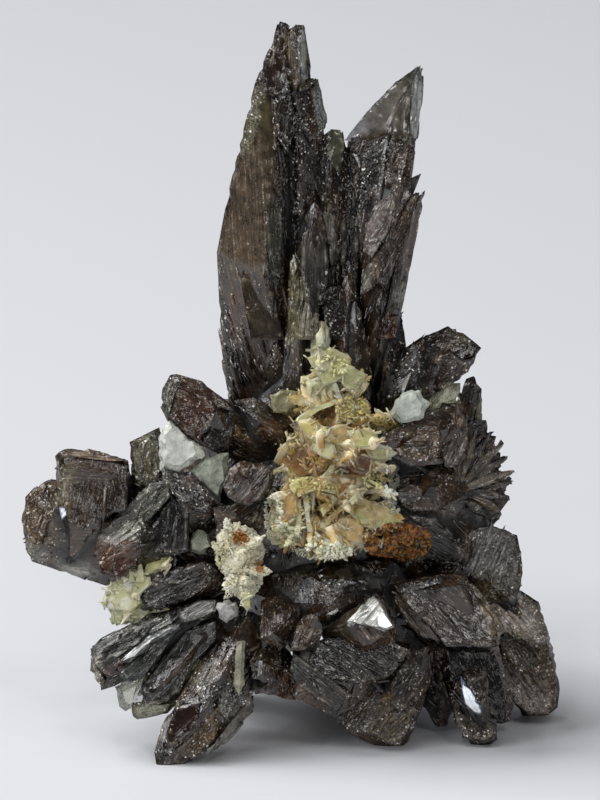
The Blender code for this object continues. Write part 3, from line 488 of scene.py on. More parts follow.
# Name, outline in tenths of a mm across and up, run of its striae, turn to the right and tilt upwards in
# degrees, its step in mm, of which it stands proud by the proud share, colour, and how lined, grainy and
# mirror-like it is. The places of the last four in a row have names, because they are read on their own.
TENTHS = 10
COLOUR, LINED, GRAINY, MIRROR = 6, 7, 8, 9
BLADES = (
    # The tall front blade
    ("left head", ((-13, 709), (-5, 711), (0, 707), (-3, 685), (-4, 665), (1, 640), (-10, 632),
     (-30, 642), (-21, 675)), 78, -8, 6, 0.2, "3a2c24", 0.2, 0.1, 0),
    ("golden head", ((-2, 700), (3, 707), (9, 705), (11, 655), (6, 640), (0, 655), (-3, 680)), 92, 20, 5,
     0.3, "6a5433", 0.5, 0.2, 0),
    ("clear strip of the head", ((9, 707), (15, 707), (16, 682), (18, 655), (12, 652), (10, 680)), 90, 35,
     5, 0.3, "9c9c95", 0.5, 0.1, 0),
    ("shelf under the head", ((6, 647), (17, 655), (27, 655), (20, 646), (10, 642)), 20, 0, 40, 0.5,
     "6d6b58", 0.3, 0.9, 0),
    ("brown granular shoulder", ((6, 640), (25, 649), (33, 607), (30, 597), (20, 590), (10, 607),
     (1, 625)), 85, 10, 0, 0.2, "42301f", 0.2, 1.0, 0),
    ("clear strip of the shoulder", ((25, 652), (29, 640), (33, 620), (34, 605), (28, 597), (24, 610),
     (23, 632)), 88, 30, 0, 0.4, "98a099", 0.4, 0.15, 0),
    # Painted shade: a near-black blade laid in the hollow, where shade falls.
    ("dark hollow", ((19, 585), (32, 592), (46, 575), (54, 540), (48, 525), (35, 525), (22, 550)), 80, 15,
     0, -0.2, "211a16", 0.2, 0.9, 0),
    ("violet-grey foot", ((-52, 462), (-27, 455), (-12, 427), (-5, 395), (-40, 395), (-46, 427)), 105, 8,
     5, 0.4, "3f3936", 0.2, 0.2, 0),
    ("dark core of the head", ((-12, 702), (2, 704), (14, 703), (16, 650), (-8, 644)), 88, 0, 0, -0.25,
     "33261b", 0.3, 0.3, 0),
    ("brown side of the shoulder", ((-19, 663), (-6, 660), (3, 635), (6, 608), (-1, 580), (-11, 594),
     (-18, 620)), 84, 4, 0, 0.3, "46352a", 0.3, 0.6, 0),
    ("slate side of the brown face", ((-27, 550), (-17, 566), (-8, 542), (-7, 495), (-10, 457),
     (-20, 462), (-24, 500)), 88, 10, 3, 0.3, "4b4e4d", 0.4, 0.2, 0),
    # Between the two tall blades
    # Painted shade: a near-black blade sunk in the cleft between the tall blades, where shade falls.
    ("black cleft", ((52, 586), (64, 589), (69, 540), (69, 480), (66, 430), (54, 430), (51, 480),
     (50, 540)), 88, 0, 0, -1.0, "1a1512", 0.5, 0.6, 0),
    ("grey-green tooth", ((35, 597), (42, 605), (53, 604), (55, 590), (54, 567), (49, 555), (40, 575)),
     84, 10, 5, 0.3, "5e6156", 0.3, 0.1, 0),
    ("slate blade", ((10, 465), (11, 495), (17, 514), (27, 517), (34, 500), (39, 475), (38, 450),
     (32, 430), (22, 417), (16, 440)), 88, 8, 8, 0.5, "45454a", 0.35, 0.05, 0),
    ("slate blade's right face", ((32, 522), (42, 525), (49, 502), (50, 477), (41, 465), (39, 482),
     (35, 502)), 86, 25, 5, 0.3, "47484c", 0.4, 0.2, 0),
    ("grey blade beside it", ((47, 517), (56, 515), (58, 490), (56, 465), (50, 470), (48, 495)), 88, 10,
     0, 0.5, "5f6062", 0.4, 0.2, 0),
    ("olive blade", ((0, 475), (6, 482), (16, 467), (22, 445), (29, 420), (30, 395), (4, 395), (-2, 427)),
     84, -10, 5, 0.7, "5a5640", 0.6, 0.4, 0),
    # Painted highlight: the pale glint at the top of the olive blade, besides the lamp that it mirrors.
    ("olive blade's glint", ((1, 473), (5, 479), (8, 467), (4, 458)), 84, 14, 12, 1.1, "b8b49c", 0.8, 0.3,
     1),
    ("dark foot between", ((30, 445), (50, 450), (60, 430), (60, 395), (35, 395)), 80, 10, 0, 0.3,
     "2c2420", 0.3, 0.9, 0),
    # The right tall blade
    ("upper face", ((54, 594), (82, 629), (90, 637), (106, 653), (128, 669), (122, 651), (110, 635),
     (101, 612), (96, 597), (75, 590)), 50, -16, 14, 0.3, "88888b", 0.15, 0.0, 0),
    ("middle face", ((110, 635), (122, 651), (120, 627), (119, 595), (117, 590), (105, 592), (100, 610)),
     82, 12, 8, 0.3, "5f5d5a", 0.2, 0.05, 0),
    ("clear edge", ((123, 655), (131, 667), (132, 642), (129, 615), (125, 592), (119, 592), (120, 627)),
     86, 35, 5, 0.4, "b2b5b3", 0.5, 0.05, 0),
    ("brown foot of the glassy face", ((60, 582), (61, 597), (68, 601), (75, 596), (82, 602), (89, 596),
     (96, 605), (99, 590), (90, 578), (74, 574)), 60, -8, 8, 0.6, "33291f", 0.3, 1.0, 0),
    ("brown foot of the middle face", ((97, 592), (104, 608), (110, 599), (117, 606), (123, 599),
     (125, 580), (110, 572), (99, 578)), 70, 6, 6, 0.5, "46372a", 0.6, 0.8, 0),
    ("glittering band", ((72, 590), (95, 596), (100, 580), (90, 555), (75, 525), (68, 525), (69, 560)),
     65, -5, 0, 0.0, "2a211c", 0.3, 1.0, 0),
    ("golden brown facets", ((96, 590), (125, 592), (124, 575), (110, 555), (95, 545), (94, 565)), 55, 5,
     5, 0.2, "4a3524", 0.9, 0.6, 0),
    ("violet-grey face", ((73, 482), (74, 507), (82, 527), (100, 542), (119, 552), (121, 540), (107, 517),
     (95, 495), (82, 477)), 62, -5, 12, 0.3, "575256", 0.4, 0.05, 0),
    ("striated brown", ((121, 540), (129, 542), (127, 517), (117, 495), (107, 470), (97, 450), (85, 450),
     (82, 475), (97, 495), (110, 517)), 62, 20, 0, 0.2, "56463c", 1.0, 0.5, 0),
    ("glinting steps", ((82, 475), (95, 490), (100, 485), (92, 465), (82, 445), (70, 440), (72, 465)), 62,
     16, 14, 0.6, "4a423c", 1.0, 1.0, 0.4),
    ("glass tooth", ((94, 426), (108, 440), (107, 427), (102, 420)), 50, 10, 10, 0.5, "8c908c", 0.3, 0.0,
     0),
    ("red-brown foot", ((85, 420), (108, 420), (106, 395), (85, 395)), 70, 10, 0, 0.3, "4a2a1a", 0.4, 0.6,
     0),
    # The arm on the right, the upright blade and the flat crystals
    ("arm's black root", ((113, 377), (123, 394), (132, 383), (132, 365), (124, 349), (110, 337),
     (102, 345), (104, 365)), 45, -12, 0, 0.2, "241d19", 0.6, 0.9, 0),
    ("arm's upper face", ((124, 393), (137, 400), (150, 402), (160, 407), (170, 402), (180, 395),
     (189, 388), (184, 377), (174, 375), (160, 385), (146, 377), (132, 383)), 35, 5, 12, 0.3, "4f443b",
     0.3, 0.9, 0),
    ("arm's lower face", ((132, 365), (146, 377), (160, 385), (174, 375), (184, 377), (178, 363),
     (164, 355), (150, 343), (138, 346), (130, 346)), 42, 8, -12, 0.2, "3d2b22", 0.6, 1.0, 0),
    # Painted highlight: the tan streak on the arm stands in for light caught along it.
    ("tan streak", ((146, 375), (149, 381), (154, 386), (156, 392), (159, 386), (154, 380), (149, 375)),
     48, 5, 20, 0.7, "80705c", 0.6, 0.1, 0),
    ("upright blade", ((174, 351), (180, 358), (185, 358), (189, 349), (188, 331), (184, 313), (181, 307),
     (178, 325), (174, 339)), 80, -5, 5, 0.3, "3b332d", 0.7, 0.3, 0),
    ("its tan side", ((189, 345), (192, 331), (191, 312), (184, 309), (186, 325), (188, 339)), 80, 35, 0,
     0.3, "6f6453", 1.0, 0.2, 0),
    ("flat crystal", ((106, 305), (130, 311), (148, 313), (151, 297), (149, 285), (140, 273), (126, 275),
     (110, 277), (102, 287), (114, 293)), 12, 0, 18, 0.3, "4d3e33", 0.3, 0.7, 0),
    ("its grey end", ((150, 305), (164, 313), (176, 317), (179, 301), (176, 285), (168, 267), (154, 269),
     (150, 285)), 60, 18, 5, 0.3, "575050", 0.7, 0.3, 0),
    # Painted highlight: the pink-white glint on the grey end of the flat crystal.
    ("pink-white glint", ((165, 313), (169, 320), (174, 319), (173, 309), (166, 305)), 60, 16, 20, 0.6,
     "b0a5a6", 0.6, 0.2, 0.5),
    ("lower flat crystal", ((106, 249), (120, 253), (146, 245), (150, 233), (150, 225), (134, 223),
     (116, 225), (106, 237)), -8, 0, 10, 0.3, "4c3f3a", 0.4, 0.7, 0),
    # The blocks and feet on the right
    ("sparkling block", ((167, 195), (180, 206), (200, 209), (224, 200), (228, 178), (228, 165),
     (220, 150), (200, 152), (175, 160), (165, 180)), 70, 6, 0, 0.2, "68686f", 0.3, 1.0, 0),
    ("flat-topped block", ((104, 151), (150, 161), (172, 155), (190, 135), (207, 112), (207, 90),
     (180, 89), (155, 90), (140, 110), (117, 130)), -42, 3, 16, 0.5, "393334", 0.5, 0.5, 0),
    # Painted highlight along the upper edge of the flat-topped block.
    ("its bright upper edge", ((110, 152), (140, 159), (146, 158), (125, 151)), 12, 0, 30, 1.1, "8f8e8a",
     0.7, 0.6, 0.5),
    ("its striated end", ((104, 150), (120, 130), (140, 109), (150, 95), (135, 97), (117, 112),
     (105, 132)), -46, -20, -10, 0.3, "453c3a", 1.0, 0.2, 0),
    ("granular strip beside it", ((172, 155), (185, 150), (200, 130), (215, 105), (207, 95), (190, 135)),
     -52, 20, 10, 0.7, "625b52", 0.3, 1.0, 0),
    ("right foot's shoulder", ((200, 150), (225, 145), (240, 137), (252, 120), (257, 100), (250, 90),
     (225, 97), (212, 102), (200, 130)), -50, 10, 12, 0.3, "918880", 0.4, 0.9, 0),
    ("right foot", ((207, 95), (225, 96), (250, 87), (263, 75), (267, 50), (267, 27), (255, 18),
     (237, 21), (225, 32), (212, 55)), -58, 8, 0, 0.3, "8d8279", 0.4, 0.9, 0),
    ("right foot's granular waist", ((210, 97), (226, 106), (246, 102), (259, 88), (260, 66), (244, 58),
     (226, 66), (213, 80)), -58, 8, 4, 1.0, "87807a", 0.3, 1.0, 0),
    ("granular low foot", ((160, 47), (172, 22), (192, 20), (207, 10), (204, -4), (192, -8), (175, -2),
     (163, 15)), -60, 0, 0, 0.3, "595145", 0.4, 1.0, 0),
    # Painted reflection: the pale blue-white of this mirror face, besides the lamp that it mirrors.
    ("blue-white mirror", ((170, 61), (180, 47), (192, 27), (191, 21), (185, 22), (174, 32), (171, 47)),
     -60, -10, 8, 0.9, "9fb4d0", 0.1, 0.0, 1),
    ("black blade behind", ((156, 86), (204, 86), (218, 30), (216, 12), (207, 15), (197, 25), (175, 65),
     (160, 55)), -70, 15, -5, 0.1, "15110f", 0.4, 0.3, 0),
    # Painted reflections: the pale grey and white of these three mirror faces, besides the lamps that they
    # mirror.
    ("striped mirror", ((56, 115), (84, 142), (93, 129), (105, 109), (96, 106), (86, 109)), 50, 6, 16,
     2.2, "96978f", 1.0, 0.0, 0.75),
    ("white mirror", ((86, 120), (92, 127), (104, 110), (96, 107), (87, 110)), 50, 6, 16, 2.6, "d9dad6",
     0.5, 0.0, 1),
    ("small striped mirror", ((35, 121), (47, 128), (49, 125), (43, 120)), 40, 8, 14, 1.6, "b0b0a8", 1.0,
     0.0, 0.8),
    ("centre foot", ((62, 42), (85, 50), (110, 55), (130, 45), (127, 25), (115, 2), (109, -9), (97, -8),
     (85, 0), (57, 5), (47, 20)), 48, 0, 6, 0.3, "4c4335", 0.7, 1.0, 0),
    ("bright-streaked face", ((100, 55), (120, 85), (140, 90), (137, 65), (125, 40), (110, 22),
     (100, 35)), 58, 10, 5, 0.4, "3f372f", 1.0, 1.0, 0.3),
    ("dark centre face", ((27, 95), (60, 102), (100, 97), (120, 87), (100, 60), (75, 52), (45, 55),
     (10, 65)), -35, 0, 8, 0.3, "1f1a17", 0.5, 0.6, 0),
    ("brown streak", ((62, 75), (80, 67), (100, 55), (82, 52), (65, 60)), -32, 0, 14, 0.8, "423129", 0.8,
     0.4, 0),
    ("slate face on the left", ((2, 85), (22, 72), (45, 55), (62, 42), (47, 22), (22, 40), (0, 55)), -38,
     -10, -5, 0.4, "2f2c2d", 0.7, 0.3, 0),
    ("pink-brown face", ((0, 87), (7, 112), (15, 121), (27, 122), (25, 105), (15, 87), (5, 85)), 70, -10,
     10, 0.5, "5f4a40", 0.3, 0.4, 0),
    # The fan crystal and the front foot on the left
    ("fan's upper face", ((-197, 90), (-170, 106), (-144, 116), (-118, 124), (-114, 115), (-134, 105),
     (-154, 91), (-172, 79), (-193, 71)), 34, -10, 25, 0.4, "3c3a37", 1.0, 0.1, 0),
    # Painted reflection: the near-white striae of the fan, besides the lamp that they mirror.
    ("fan's brilliant striae", ((-170, 73), (-167, 77), (-150, 91), (-130, 106), (-114, 113), (-112, 110),
     (-126, 103), (-144, 90), (-156, 79)), 37, -8, 22, 1.4, "d6d9d8", 1.0, 0.0, 0.8),
    ("fan's grey-blue face", ((-171, 71), (-152, 79), (-134, 95), (-116, 107), (-104, 113), (-114, 101),
     (-130, 79), (-146, 59), (-164, 55), (-171, 63)), 40, -6, 10, 0.5, "4d565b", 1.0, 0.05, 0),
    ("fan's pale end", ((-197, 88), (-193, 71), (-184, 56), (-187, 49), (-194, 59), (-197, 75)), 70, -30,
     0, 0.2, "6f6a5c", 0.3, 1.0, 0),
    ("fan's red-brown side", ((-190, 67), (-170, 84), (-166, 76), (-173, 66), (-183, 56)), 38, -20, -10,
     0.3, "50312a", 0.8, 0.4, 0),
    ("streaked upper blades", ((-112, 125), (-90, 136), (-73, 136), (-74, 125), (-94, 115), (-110, 113)),
     33, -6, 20, 0.7, "55565a", 1.0, 0.3, 0.6),
    ("black crystal", ((-148, 51), (-126, 77), (-102, 107), (-74, 115), (-74, 95), (-98, 71), (-110, 43),
     (-122, 35), (-148, 27)), 42, -8, 4, 0.3, "1e1b1b", 0.7, 0.5, 0),
    ("pale rim below it", ((-156, 19), (-148, 31), (-118, 33), (-122, 25), (-152, 17)), 12, 0, -25, 0.5,
     "6f6c5a", 0.6, 0.4, 0),
    ("front foot's dark red face", ((-116, 27), (-106, 35), (-88, 35), (-90, 19), (-98, 3), (-112, -10),
     (-122, -12), (-124, 0)), 48, -14, 2, 0.4, "301e1a", 0.2, 0.2, 0),
    ("front foot's tan face", ((-90, 19), (-80, 27), (-70, 15), (-74, -3), (-90, -20), (-104, -22),
     (-114, -13), (-98, 1)), 44, 12, 0, 0.4, "594a39", 0.6, 0.9, 0),
    ("front foot's grey side", ((-70, 1), (-50, 27), (-36, 43), (-36, 29), (-50, 10), (-73, -13),
     (-81, -17)), 46, 35, 0, 0.3, "706e6d", 0.5, 0.2, 0),
    ("front foot's sparkling facets", ((-72, 43), (-62, 67), (-52, 36), (-62, 16), (-72, 27)), 60, 20, 10,
     0.4, "3a3835", 0.5, 1.0, 0.3),
    # The group on the far left
    ("far left crystal", ((-264, 235), (-252, 250), (-237, 255), (-229, 250), (-230, 225), (-242, 210),
     (-247, 190), (-257, 186), (-265, 205)), 75, -10, 5, 0.3, "564636", 0.2, 0.6, 0),
    ("brown block", ((-230, 277), (-220, 279), (-180, 275), (-160, 270), (-162, 225), (-192, 215),
     (-207, 205), (-222, 215), (-229, 252)), 82, -4, 3, 0.4, "46392f", 0.4, 0.35, 0),
    # Painted highlight: the top of the brown block is painted paler, where light falls on it from above.
    ("its pale top", ((-226, 285), (-199, 284), (-159, 274), (-180, 274), (-220, 279), (-228, 280)), -5,
     0, 35, 0.5, "5f5348", 0.7, 0.3, 0),
    ("clear grey lower edge", ((-234, 173), (-195, 168), (-194, 159), (-205, 155), (-230, 166)), -12, 0,
     -25, 0.2, "9c9992", 0.3, 0.2, 0),
    # Painted reflection: the pale blue of the flash, besides the lamp that it mirrors.
    ("blue flash", ((-231, 229), (-224, 229), (-220, 221), (-227, 215)), 60, -6, 12, 0.8, "b4c2e4", 0.2,
     0.0, 1),
    ("green-grey crystal", ((-157, 294), (-140, 299), (-130, 297), (-129, 270), (-130, 252), (-145, 247),
     (-155, 255), (-155, 282)), 88, 0, 5, 0.3, "57554a", 0.4, 0.8, 0),
    ("green-grey diagonal", ((-187, 205), (-167, 225), (-140, 252), (-120, 255), (-117, 240), (-140, 215),
     (-167, 190), (-182, 182)), 42, -6, 10, 0.5, "4a4c42", 1.0, 0.8, 0.15),
    ("dark wedge", ((-147, 200), (-130, 220), (-117, 240), (-100, 225), (-100, 185), (-115, 180),
     (-140, 182)), 82, 8, 0, 0.3, "1f1b1b", 0.9, 0.4, 0),
    ("dark glittering blade", ((-127, 267), (-105, 262), (-90, 252), (-76, 237), (-80, 222), (-95, 225),
     (-115, 240), (-127, 255)), -35, 5, 10, 0.4, "28231f", 0.5, 1.0, 0),
    ("red-brown crystal", ((-192, 175), (-180, 192), (-150, 190), (-150, 170), (-172, 159), (-189, 161)),
     30, -5, 0, 0.4, "4c3526", 0.3, 0.6, 0),
    ("low brown crystal", ((-149, 140), (-137, 157), (-110, 170), (-85, 175), (-72, 165), (-80, 150),
     (-105, 135), (-130, 126), (-144, 128)), 26, -4, 10, 0.4, "33271e", 0.5, 0.7, 0),
    # The upper left arm and the small striated crystal
    ("arm's green side", ((-127, 325), (-124, 350), (-115, 358), (-107, 354), (-114, 342), (-120, 320)),
     70, -30, 5, 0.2, "3f423b", 0.4, 0.6, 0),
    ("arm's brown face", ((-115, 342), (-105, 345), (-85, 342), (-72, 327), (-75, 315), (-90, 292),
     (-105, 302), (-120, 320)), -45, -5, 8, 0.4, "40291f", 0.2, 0.35, 0),
    ("arm's dark top", ((-107, 354), (-90, 353), (-80, 347), (-65, 335), (-55, 324), (-72, 327),
     (-85, 342), (-105, 345)), -40, 10, 30, 0.3, "35251f", 0.4, 0.5, 0),
    ("arm's grey right end", ((-72, 327), (-55, 322), (-55, 302), (-60, 287), (-80, 285), (-90, 292),
     (-75, 315)), -45, 12, 0, 0.3, "2f2926", 0.4, 0.8, 0),
    ("small striated crystal", ((-67, 250), (-60, 267), (-42, 272), (-16, 270), (-18, 255), (-30, 235),
     (-40, 230), (-60, 235)), 52, -4, 14, 0.6, "46332a", 1.0, 0.5, 0.15),
)
# %% [markdown]
# ## The ribs of the fan
#
# On the right one crystal ends in a fan. Its ribs could be drawn one by one, but they all start at one
# point and differ only in their angle, length and colour. So their outlines are worked out from these.

# %% Ribs
# The ribs of the fan on the right spread from one point like fingers: angle, length in mm and colour
FAN_CENTRE = (16.6, 24.4)
FAN_RIBS = ((86, 6.2, "4a3f38"), (72, 6.6, "6f675c"), (60, 6.9, "332b27"), (47, 6.8, "5a5048"),
            (34, 6.3, "3a302b"), (20, 6.2, "6a6158"), (8, 5.8, "453a34"), (-6, 5.4, "2b2421"),
            (-22, 4.9, "54493f"), (-40, 4.2, "2f2723"))
RIB_HALF_WIDTH = 0.62
RIB_START = 0.8
RIB_FOOT = 0.5
RIB_WIDEST = (0.6, 0.62)
RIB_STEPS = (0.35, 0.6)


def in_mm(table):
    """The rows of a table with their outlines as arrays in millimetres."""
    return [(name, np.array(outline) / TENTHS, *rest) for name, outline, *rest in table]


def rib(angle, length):
    """A long kite from the fan's centre: its widest places are at about 0.6 of its length."""
    way = np.array([math.cos(math.radians(angle)), math.sin(math.radians(angle))])
    aside = np.array([-way[1], way[0]]) * RIB_HALF_WIDTH
    centre = np.array(FAN_CENTRE)
    return [centre + way * RIB_START - aside * RIB_FOOT, centre + way * length * RIB_WIDEST[0] - aside,
            centre + way * length, centre + way * length * RIB_WIDEST[1] + aside,
            centre + way * RIB_START + aside * RIB_FOOT]


# %% [markdown]
# ## Laying the blades
#
# Rays from the camera through the middle and the corners of an outline tell how near the cluster is
# there. The blade's level is set from them, so that it stands in front of most of what it covers. Its
# back is sunk into the crystal behind it, and no gap shows from the side.

# %% Laying the blades
def on_ray(across, up, near):
    """A place in metres from its picture coordinates and how near it is to the camera, all in mm."""
    across, up, near = (np.asarray(value, dtype=float)[..., None] for value in (across, up, near))
    return (across * SIDE + up * RISE + near * towards_camera + DRAWING_SHIFT) * MM


def nearness(tree, across, up):
    """How near to the camera its ray meets the cluster, in mm, or None where it misses."""
    hit = tree.ray_cast(Vector(on_ray(across, up, RAY_START)), Vector(-towards_camera))[0]
    return None if hit is None else float((np.array(hit) - on_ray(across, up, 0.0)) @ towards_camera / MM)


def blade(tree, outline, turn, tilt, proud, thickness=BLADE_THICKNESS):
    """A bevelled slab on the plane near = level - (across, up offsets) . (tan(turn), tan(tilt)).

    The level is the one that 70% of the rays through the outline pass before they meet the cluster, and
    its step is added to it. The slab has three rings of points: its face, its bevel's foot and its back.
    """
    outline = np.array(outline, dtype=float)
    step = np.roll(outline, -1, axis=0)
    if (outline[:, 0] * step[:, 1] - outline[:, 1] * step[:, 0]).sum() < 0:
        outline = outline[::-1]
    centre = outline.mean(axis=0)
    slope = -np.tan(np.radians([turn, tilt]))
    inside = [centre, *(centre + (outline - centre) * SAMPLE_SCALE)]
    found = [(nearness(tree, *place), place) for place in inside]
    levels = [near - (place - centre) @ slope for near, place in found if near is not None]
    level = np.percentile(levels, LEVEL_PERCENT) + proud * PROUD_SHARE
    size = np.linalg.norm(outline - centre, axis=1).mean()
    rings = []
    for scale, sink in ((1 - BEVEL / size, 0.0), (1.0, BEVEL_DEPTH), (BACK_SCALE, thickness)):
        ring = centre + (outline - centre) * scale
        rings.append(on_ray(ring[:, 0], ring[:, 1], level - sink + (ring - centre) @ slope))
    count = len(outline)
    cap = []
    for a, b, c in tessellate_polygon([[Vector((*corner, 0.0)) for corner in outline]]):
        one, two, three = outline[a], outline[b], outline[c]
        left = (two[0] - one[0]) * (three[1] - one[1]) - (two[1] - one[1]) * (three[0] - one[0]) > 0
        cap.append((a, b, c) if left else (a, c, b))
    triangles = cap + [(2 * count + a, 2 * count + c, 2 * count + b) for a, b, c in cap]
    for low in (0, count):
        for k in range(count):
            after = (k + 1) % count
            triangles += [(low + k, low + count + k, low + count + after),
                          (low + k, low + count + after, low + after)]
    return np.vstack(rings), np.array(triangles)


cluster_shape = node_triangles("axinite_cluster")
cluster_tree = ray_tree(*cluster_shape)
ribs = [("rib", rib(angle, length), angle, 0, 0, RIB_STEPS[k % 2], colour, 1.0, 0.5, 0)
        for k, (angle, length, colour) in enumerate(FAN_RIBS)]
blades = [*in_mm(BLADES), *ribs]
blade_shapes = [blade(cluster_tree, outline, turn, tilt, proud)
                for _, outline, _, turn, tilt, proud, *_ in blades]
coarse_points, coarse_faces, shape_of = joined([cluster_shape, *blade_shapes])
blade_of = shape_of - 1
print(len(blades), "blades laid on the cluster")

# %% [markdown]
# ## Lamps for the mirror faces
#
# A few faces in the picture flash white because they mirror a lamp. A face with the normal n sends the
# view direction c on to 2 (n . c) n - c, so a small lamp is hung there, once for each such face.

# %% Mirror lamps
MIRROR_LAMP_DISTANCE = 0.6
# For faces that are partly mirrors, and for those that are wholly so
MIRROR_LAMP_WIDTHS = (0.05, 0.026)
MIRROR_RADIANCE = 14.0
LEAST_MIRROR = 0.6
MIRROR_NEAR = 10.0

for name, outline, _, turn, tilt, *_, mirror in blades:
    if mirror >= LEAST_MIRROR:
        aside, upward = math.tan(math.radians(turn)), math.tan(math.radians(tilt))
        normal = unit(towards_camera + aside * SIDE + upward * RISE)
        away = 2 * (normal @ towards_camera) * normal - towards_camera
        face = on_ray(*np.mean(outline, axis=0), MIRROR_NEAR)
        width = MIRROR_LAMP_WIDTHS[mirror == 1]
        panel("lamp for the " + name, face + away * MIRROR_LAMP_DISTANCE, width,
              MIRROR_RADIANCE * math.pi * width ** 2, "ffffff", face)

# %% [markdown]
# ## The faces of the axinite
#
# Every crystal face has its own grain. Striae run along the crystal, away from the core that all of
# them grew from. So the triangles are first gathered into faces, and each face gets a direction. Two
# distances are worked out for every point: to the nearest sharp edge, where glass is thin, chipped and
# pale, and to the nearest cleft, where shade is painted in.

# %% Gathering faces
CORE = placed(2.0, 27.0, 6.0)
FLAT_ANGLE = 4.0
EDGE_ANGLE = 14.0


def shared_edges(faces):
    """Each edge that two triangles share: its two points and the two triangles' numbers."""
    ends = np.sort(np.stack([faces, np.roll(faces, -1, axis=1)], axis=2).reshape(-1, 2), axis=1)
    owner = np.repeat(np.arange(len(faces)), 3)
    edges, back, count = np.unique(ends, axis=0, return_inverse=True, return_counts=True)
    order = np.argsort(back.reshape(-1), kind="stable")
    first = np.concatenate([[0], np.cumsum(count)[:-1]])
    twice = count == 2
    return edges[twice], np.stack([owner[order[first[twice]]], owner[order[first[twice] + 1]]], axis=1)


def grouped(size, pairs):
    """Numbers the groups that pairs tie together: each member takes the least number of its group."""
    label = np.arange(size)
    while True:
        low = np.minimum(label[pairs[:, 0]], label[pairs[:, 1]])
        new = label.copy()
        np.minimum.at(new, pairs[:, 0], low)
        np.minimum.at(new, pairs[:, 1], low)
        new = new[new]
        if (new == label).all():
            return np.unique(label, return_inverse=True)[1].reshape(-1)
        label = new


coarse_normals = face_normals(coarse_points, coarse_faces)
edges, sides = shared_edges(coarse_faces)
cosines = (coarse_normals[sides[:, 0]] * coarse_normals[sides[:, 1]]).sum(axis=1)
flat = cosines > math.cos(math.radians(FLAT_ANGLE))
facet_of = grouped(len(coarse_faces), sides[flat])
facet_count = facet_of.max() + 1
hard = cosines < math.cos(math.radians(EDGE_ANGLE))
centres = coarse_points[coarse_faces].mean(axis=1)
across_edge = centres[sides[:, 1]] - centres[sides[:, 0]]
convex = (across_edge * coarse_normals[sides[:, 0]]).sum(axis=1) < 0

a, b, c = (coarse_points[coarse_faces[:, k]] for k in range(3))
sizes = np.linalg.norm(np.cross(b - a, c - a), axis=1) / 2
facet_area = np.bincount(facet_of, sizes)
normal_sums = [np.bincount(facet_of, sizes * coarse_normals[:, k]) for k in range(3)]
facet_normal = unit(np.stack(normal_sums, axis=1))
facet_centre = np.stack([np.bincount(facet_of, sizes * centres[:, k]) for k in range(3)], axis=1)
facet_centre /= np.maximum(facet_area, TINY)[:, None]
growth = facet_centre - CORE
growth -= (growth * facet_normal).sum(axis=1, keepdims=True) * facet_normal
facet_along = unit(growth)
facet_blade = np.full(facet_count, -1)
facet_blade[facet_of] = blade_of
for number, (_, _, run, *_) in enumerate(blades):
    run = math.cos(math.radians(run)) * SIDE + math.sin(math.radians(run)) * RISE
    own = facet_blade == number
    facet_along[own] = unit(run - (facet_normal[own] @ run)[:, None] * facet_normal[own])
facet_across = np.cross(facet_normal, facet_along)
facet_front = (facet_blade >= 0) & (facet_normal @ towards_camera > FACES_CAMERA)
print("faces of the cluster:", facet_count, "with", hard.sum(), "hard edges")

# %% [markdown]
# ## Fine triangles and distances
#
# The triangles could be equally small all over, but most would be spent where nobody looks. So they are
# finest on the drawn blades, a little larger on the rest of the front, and coarse at the back. Then the
# distances to the nearest sharp edge and cleft are measured once, for relief, colour and surface to use.

# %% Fine triangles and distances
FRONT_EDGE = 0.8 * MM
BACK_EDGE = 1.7 * MM
BLADE_EDGE = 0.5 * MM
FAR = 5.0 * MM
# How far back the finest triangles end and the coarsest begin, in metres
FINE_TO = -0.002
COARSE_FROM = 0.008
LEAST_SQUARE = 1e-18


def edge_limit(places):
    """The front gets finer triangles than the back: the limit grows from y = -2 mm to y = 8 mm."""
    return FRONT_EDGE + (BACK_EDGE - FRONT_EDGE) * smoothstep(places[:, 1], FINE_TO, COARSE_FROM)


def segment_distance(places, starts, ends):
    """The least distance from each place to some segments: to its perpendicular's foot, or to an end."""
    runs = ends - starts
    gap = places[:, None, :] - starts[None, :, :]
    share = np.clip((gap * runs).sum(axis=2) / np.maximum((runs * runs).sum(axis=1), LEAST_SQUARE), 0, 1)
    return np.linalg.norm(gap - share[..., None] * runs, axis=2).min(axis=1)


numbers = np.arange(len(coarse_faces))
on_blade = blade_of >= 0
points, faces, coarse_of = halved(coarse_points, coarse_faces[~on_blade], numbers[~on_blade], edge_limit)
points, blade_faces, coarse_of_blade = halved(points, coarse_faces[on_blade], numbers[on_blade],
                                              lambda places: BLADE_EDGE)
faces, coarse_of = np.vstack([faces, blade_faces]), np.concatenate([coarse_of, coarse_of_blade])
facet = facet_of[coarse_of]
order = np.argsort(facet, kind="stable")
starts = np.searchsorted(facet[order], np.arange(facet_count + 1))
rim = np.full(len(points), FAR)
cleft = np.full(len(points), FAR)
point_facet = np.zeros(len(points), dtype=np.int64)
edge_facets = facet_of[sides]
for number in range(facet_count):
    inside = np.unique(faces[order[starts[number]:starts[number + 1]]])
    point_facet[inside] = number
    own = hard & (edge_facets == number).any(axis=1)
    for distances, chosen in ((rim, own & convex), (cleft, own & ~convex)):
        if chosen.any():
            near = segment_distance(points[inside], *coarse_points[edges[chosen].T])
            distances[inside] = np.minimum(distances[inside], near)
print("fine triangles:", len(faces))

# %% [markdown]
# ## Growth steps and nicked edges
#
# A face of axinite is rarely a plain flat. Most are covered with long low steps, because the crystal
# grew in layers that stopped at different places, and some are etched. The relief fades out towards
# the edges, so that neighbours still meet, and the sharp edges themselves are nicked here and there.

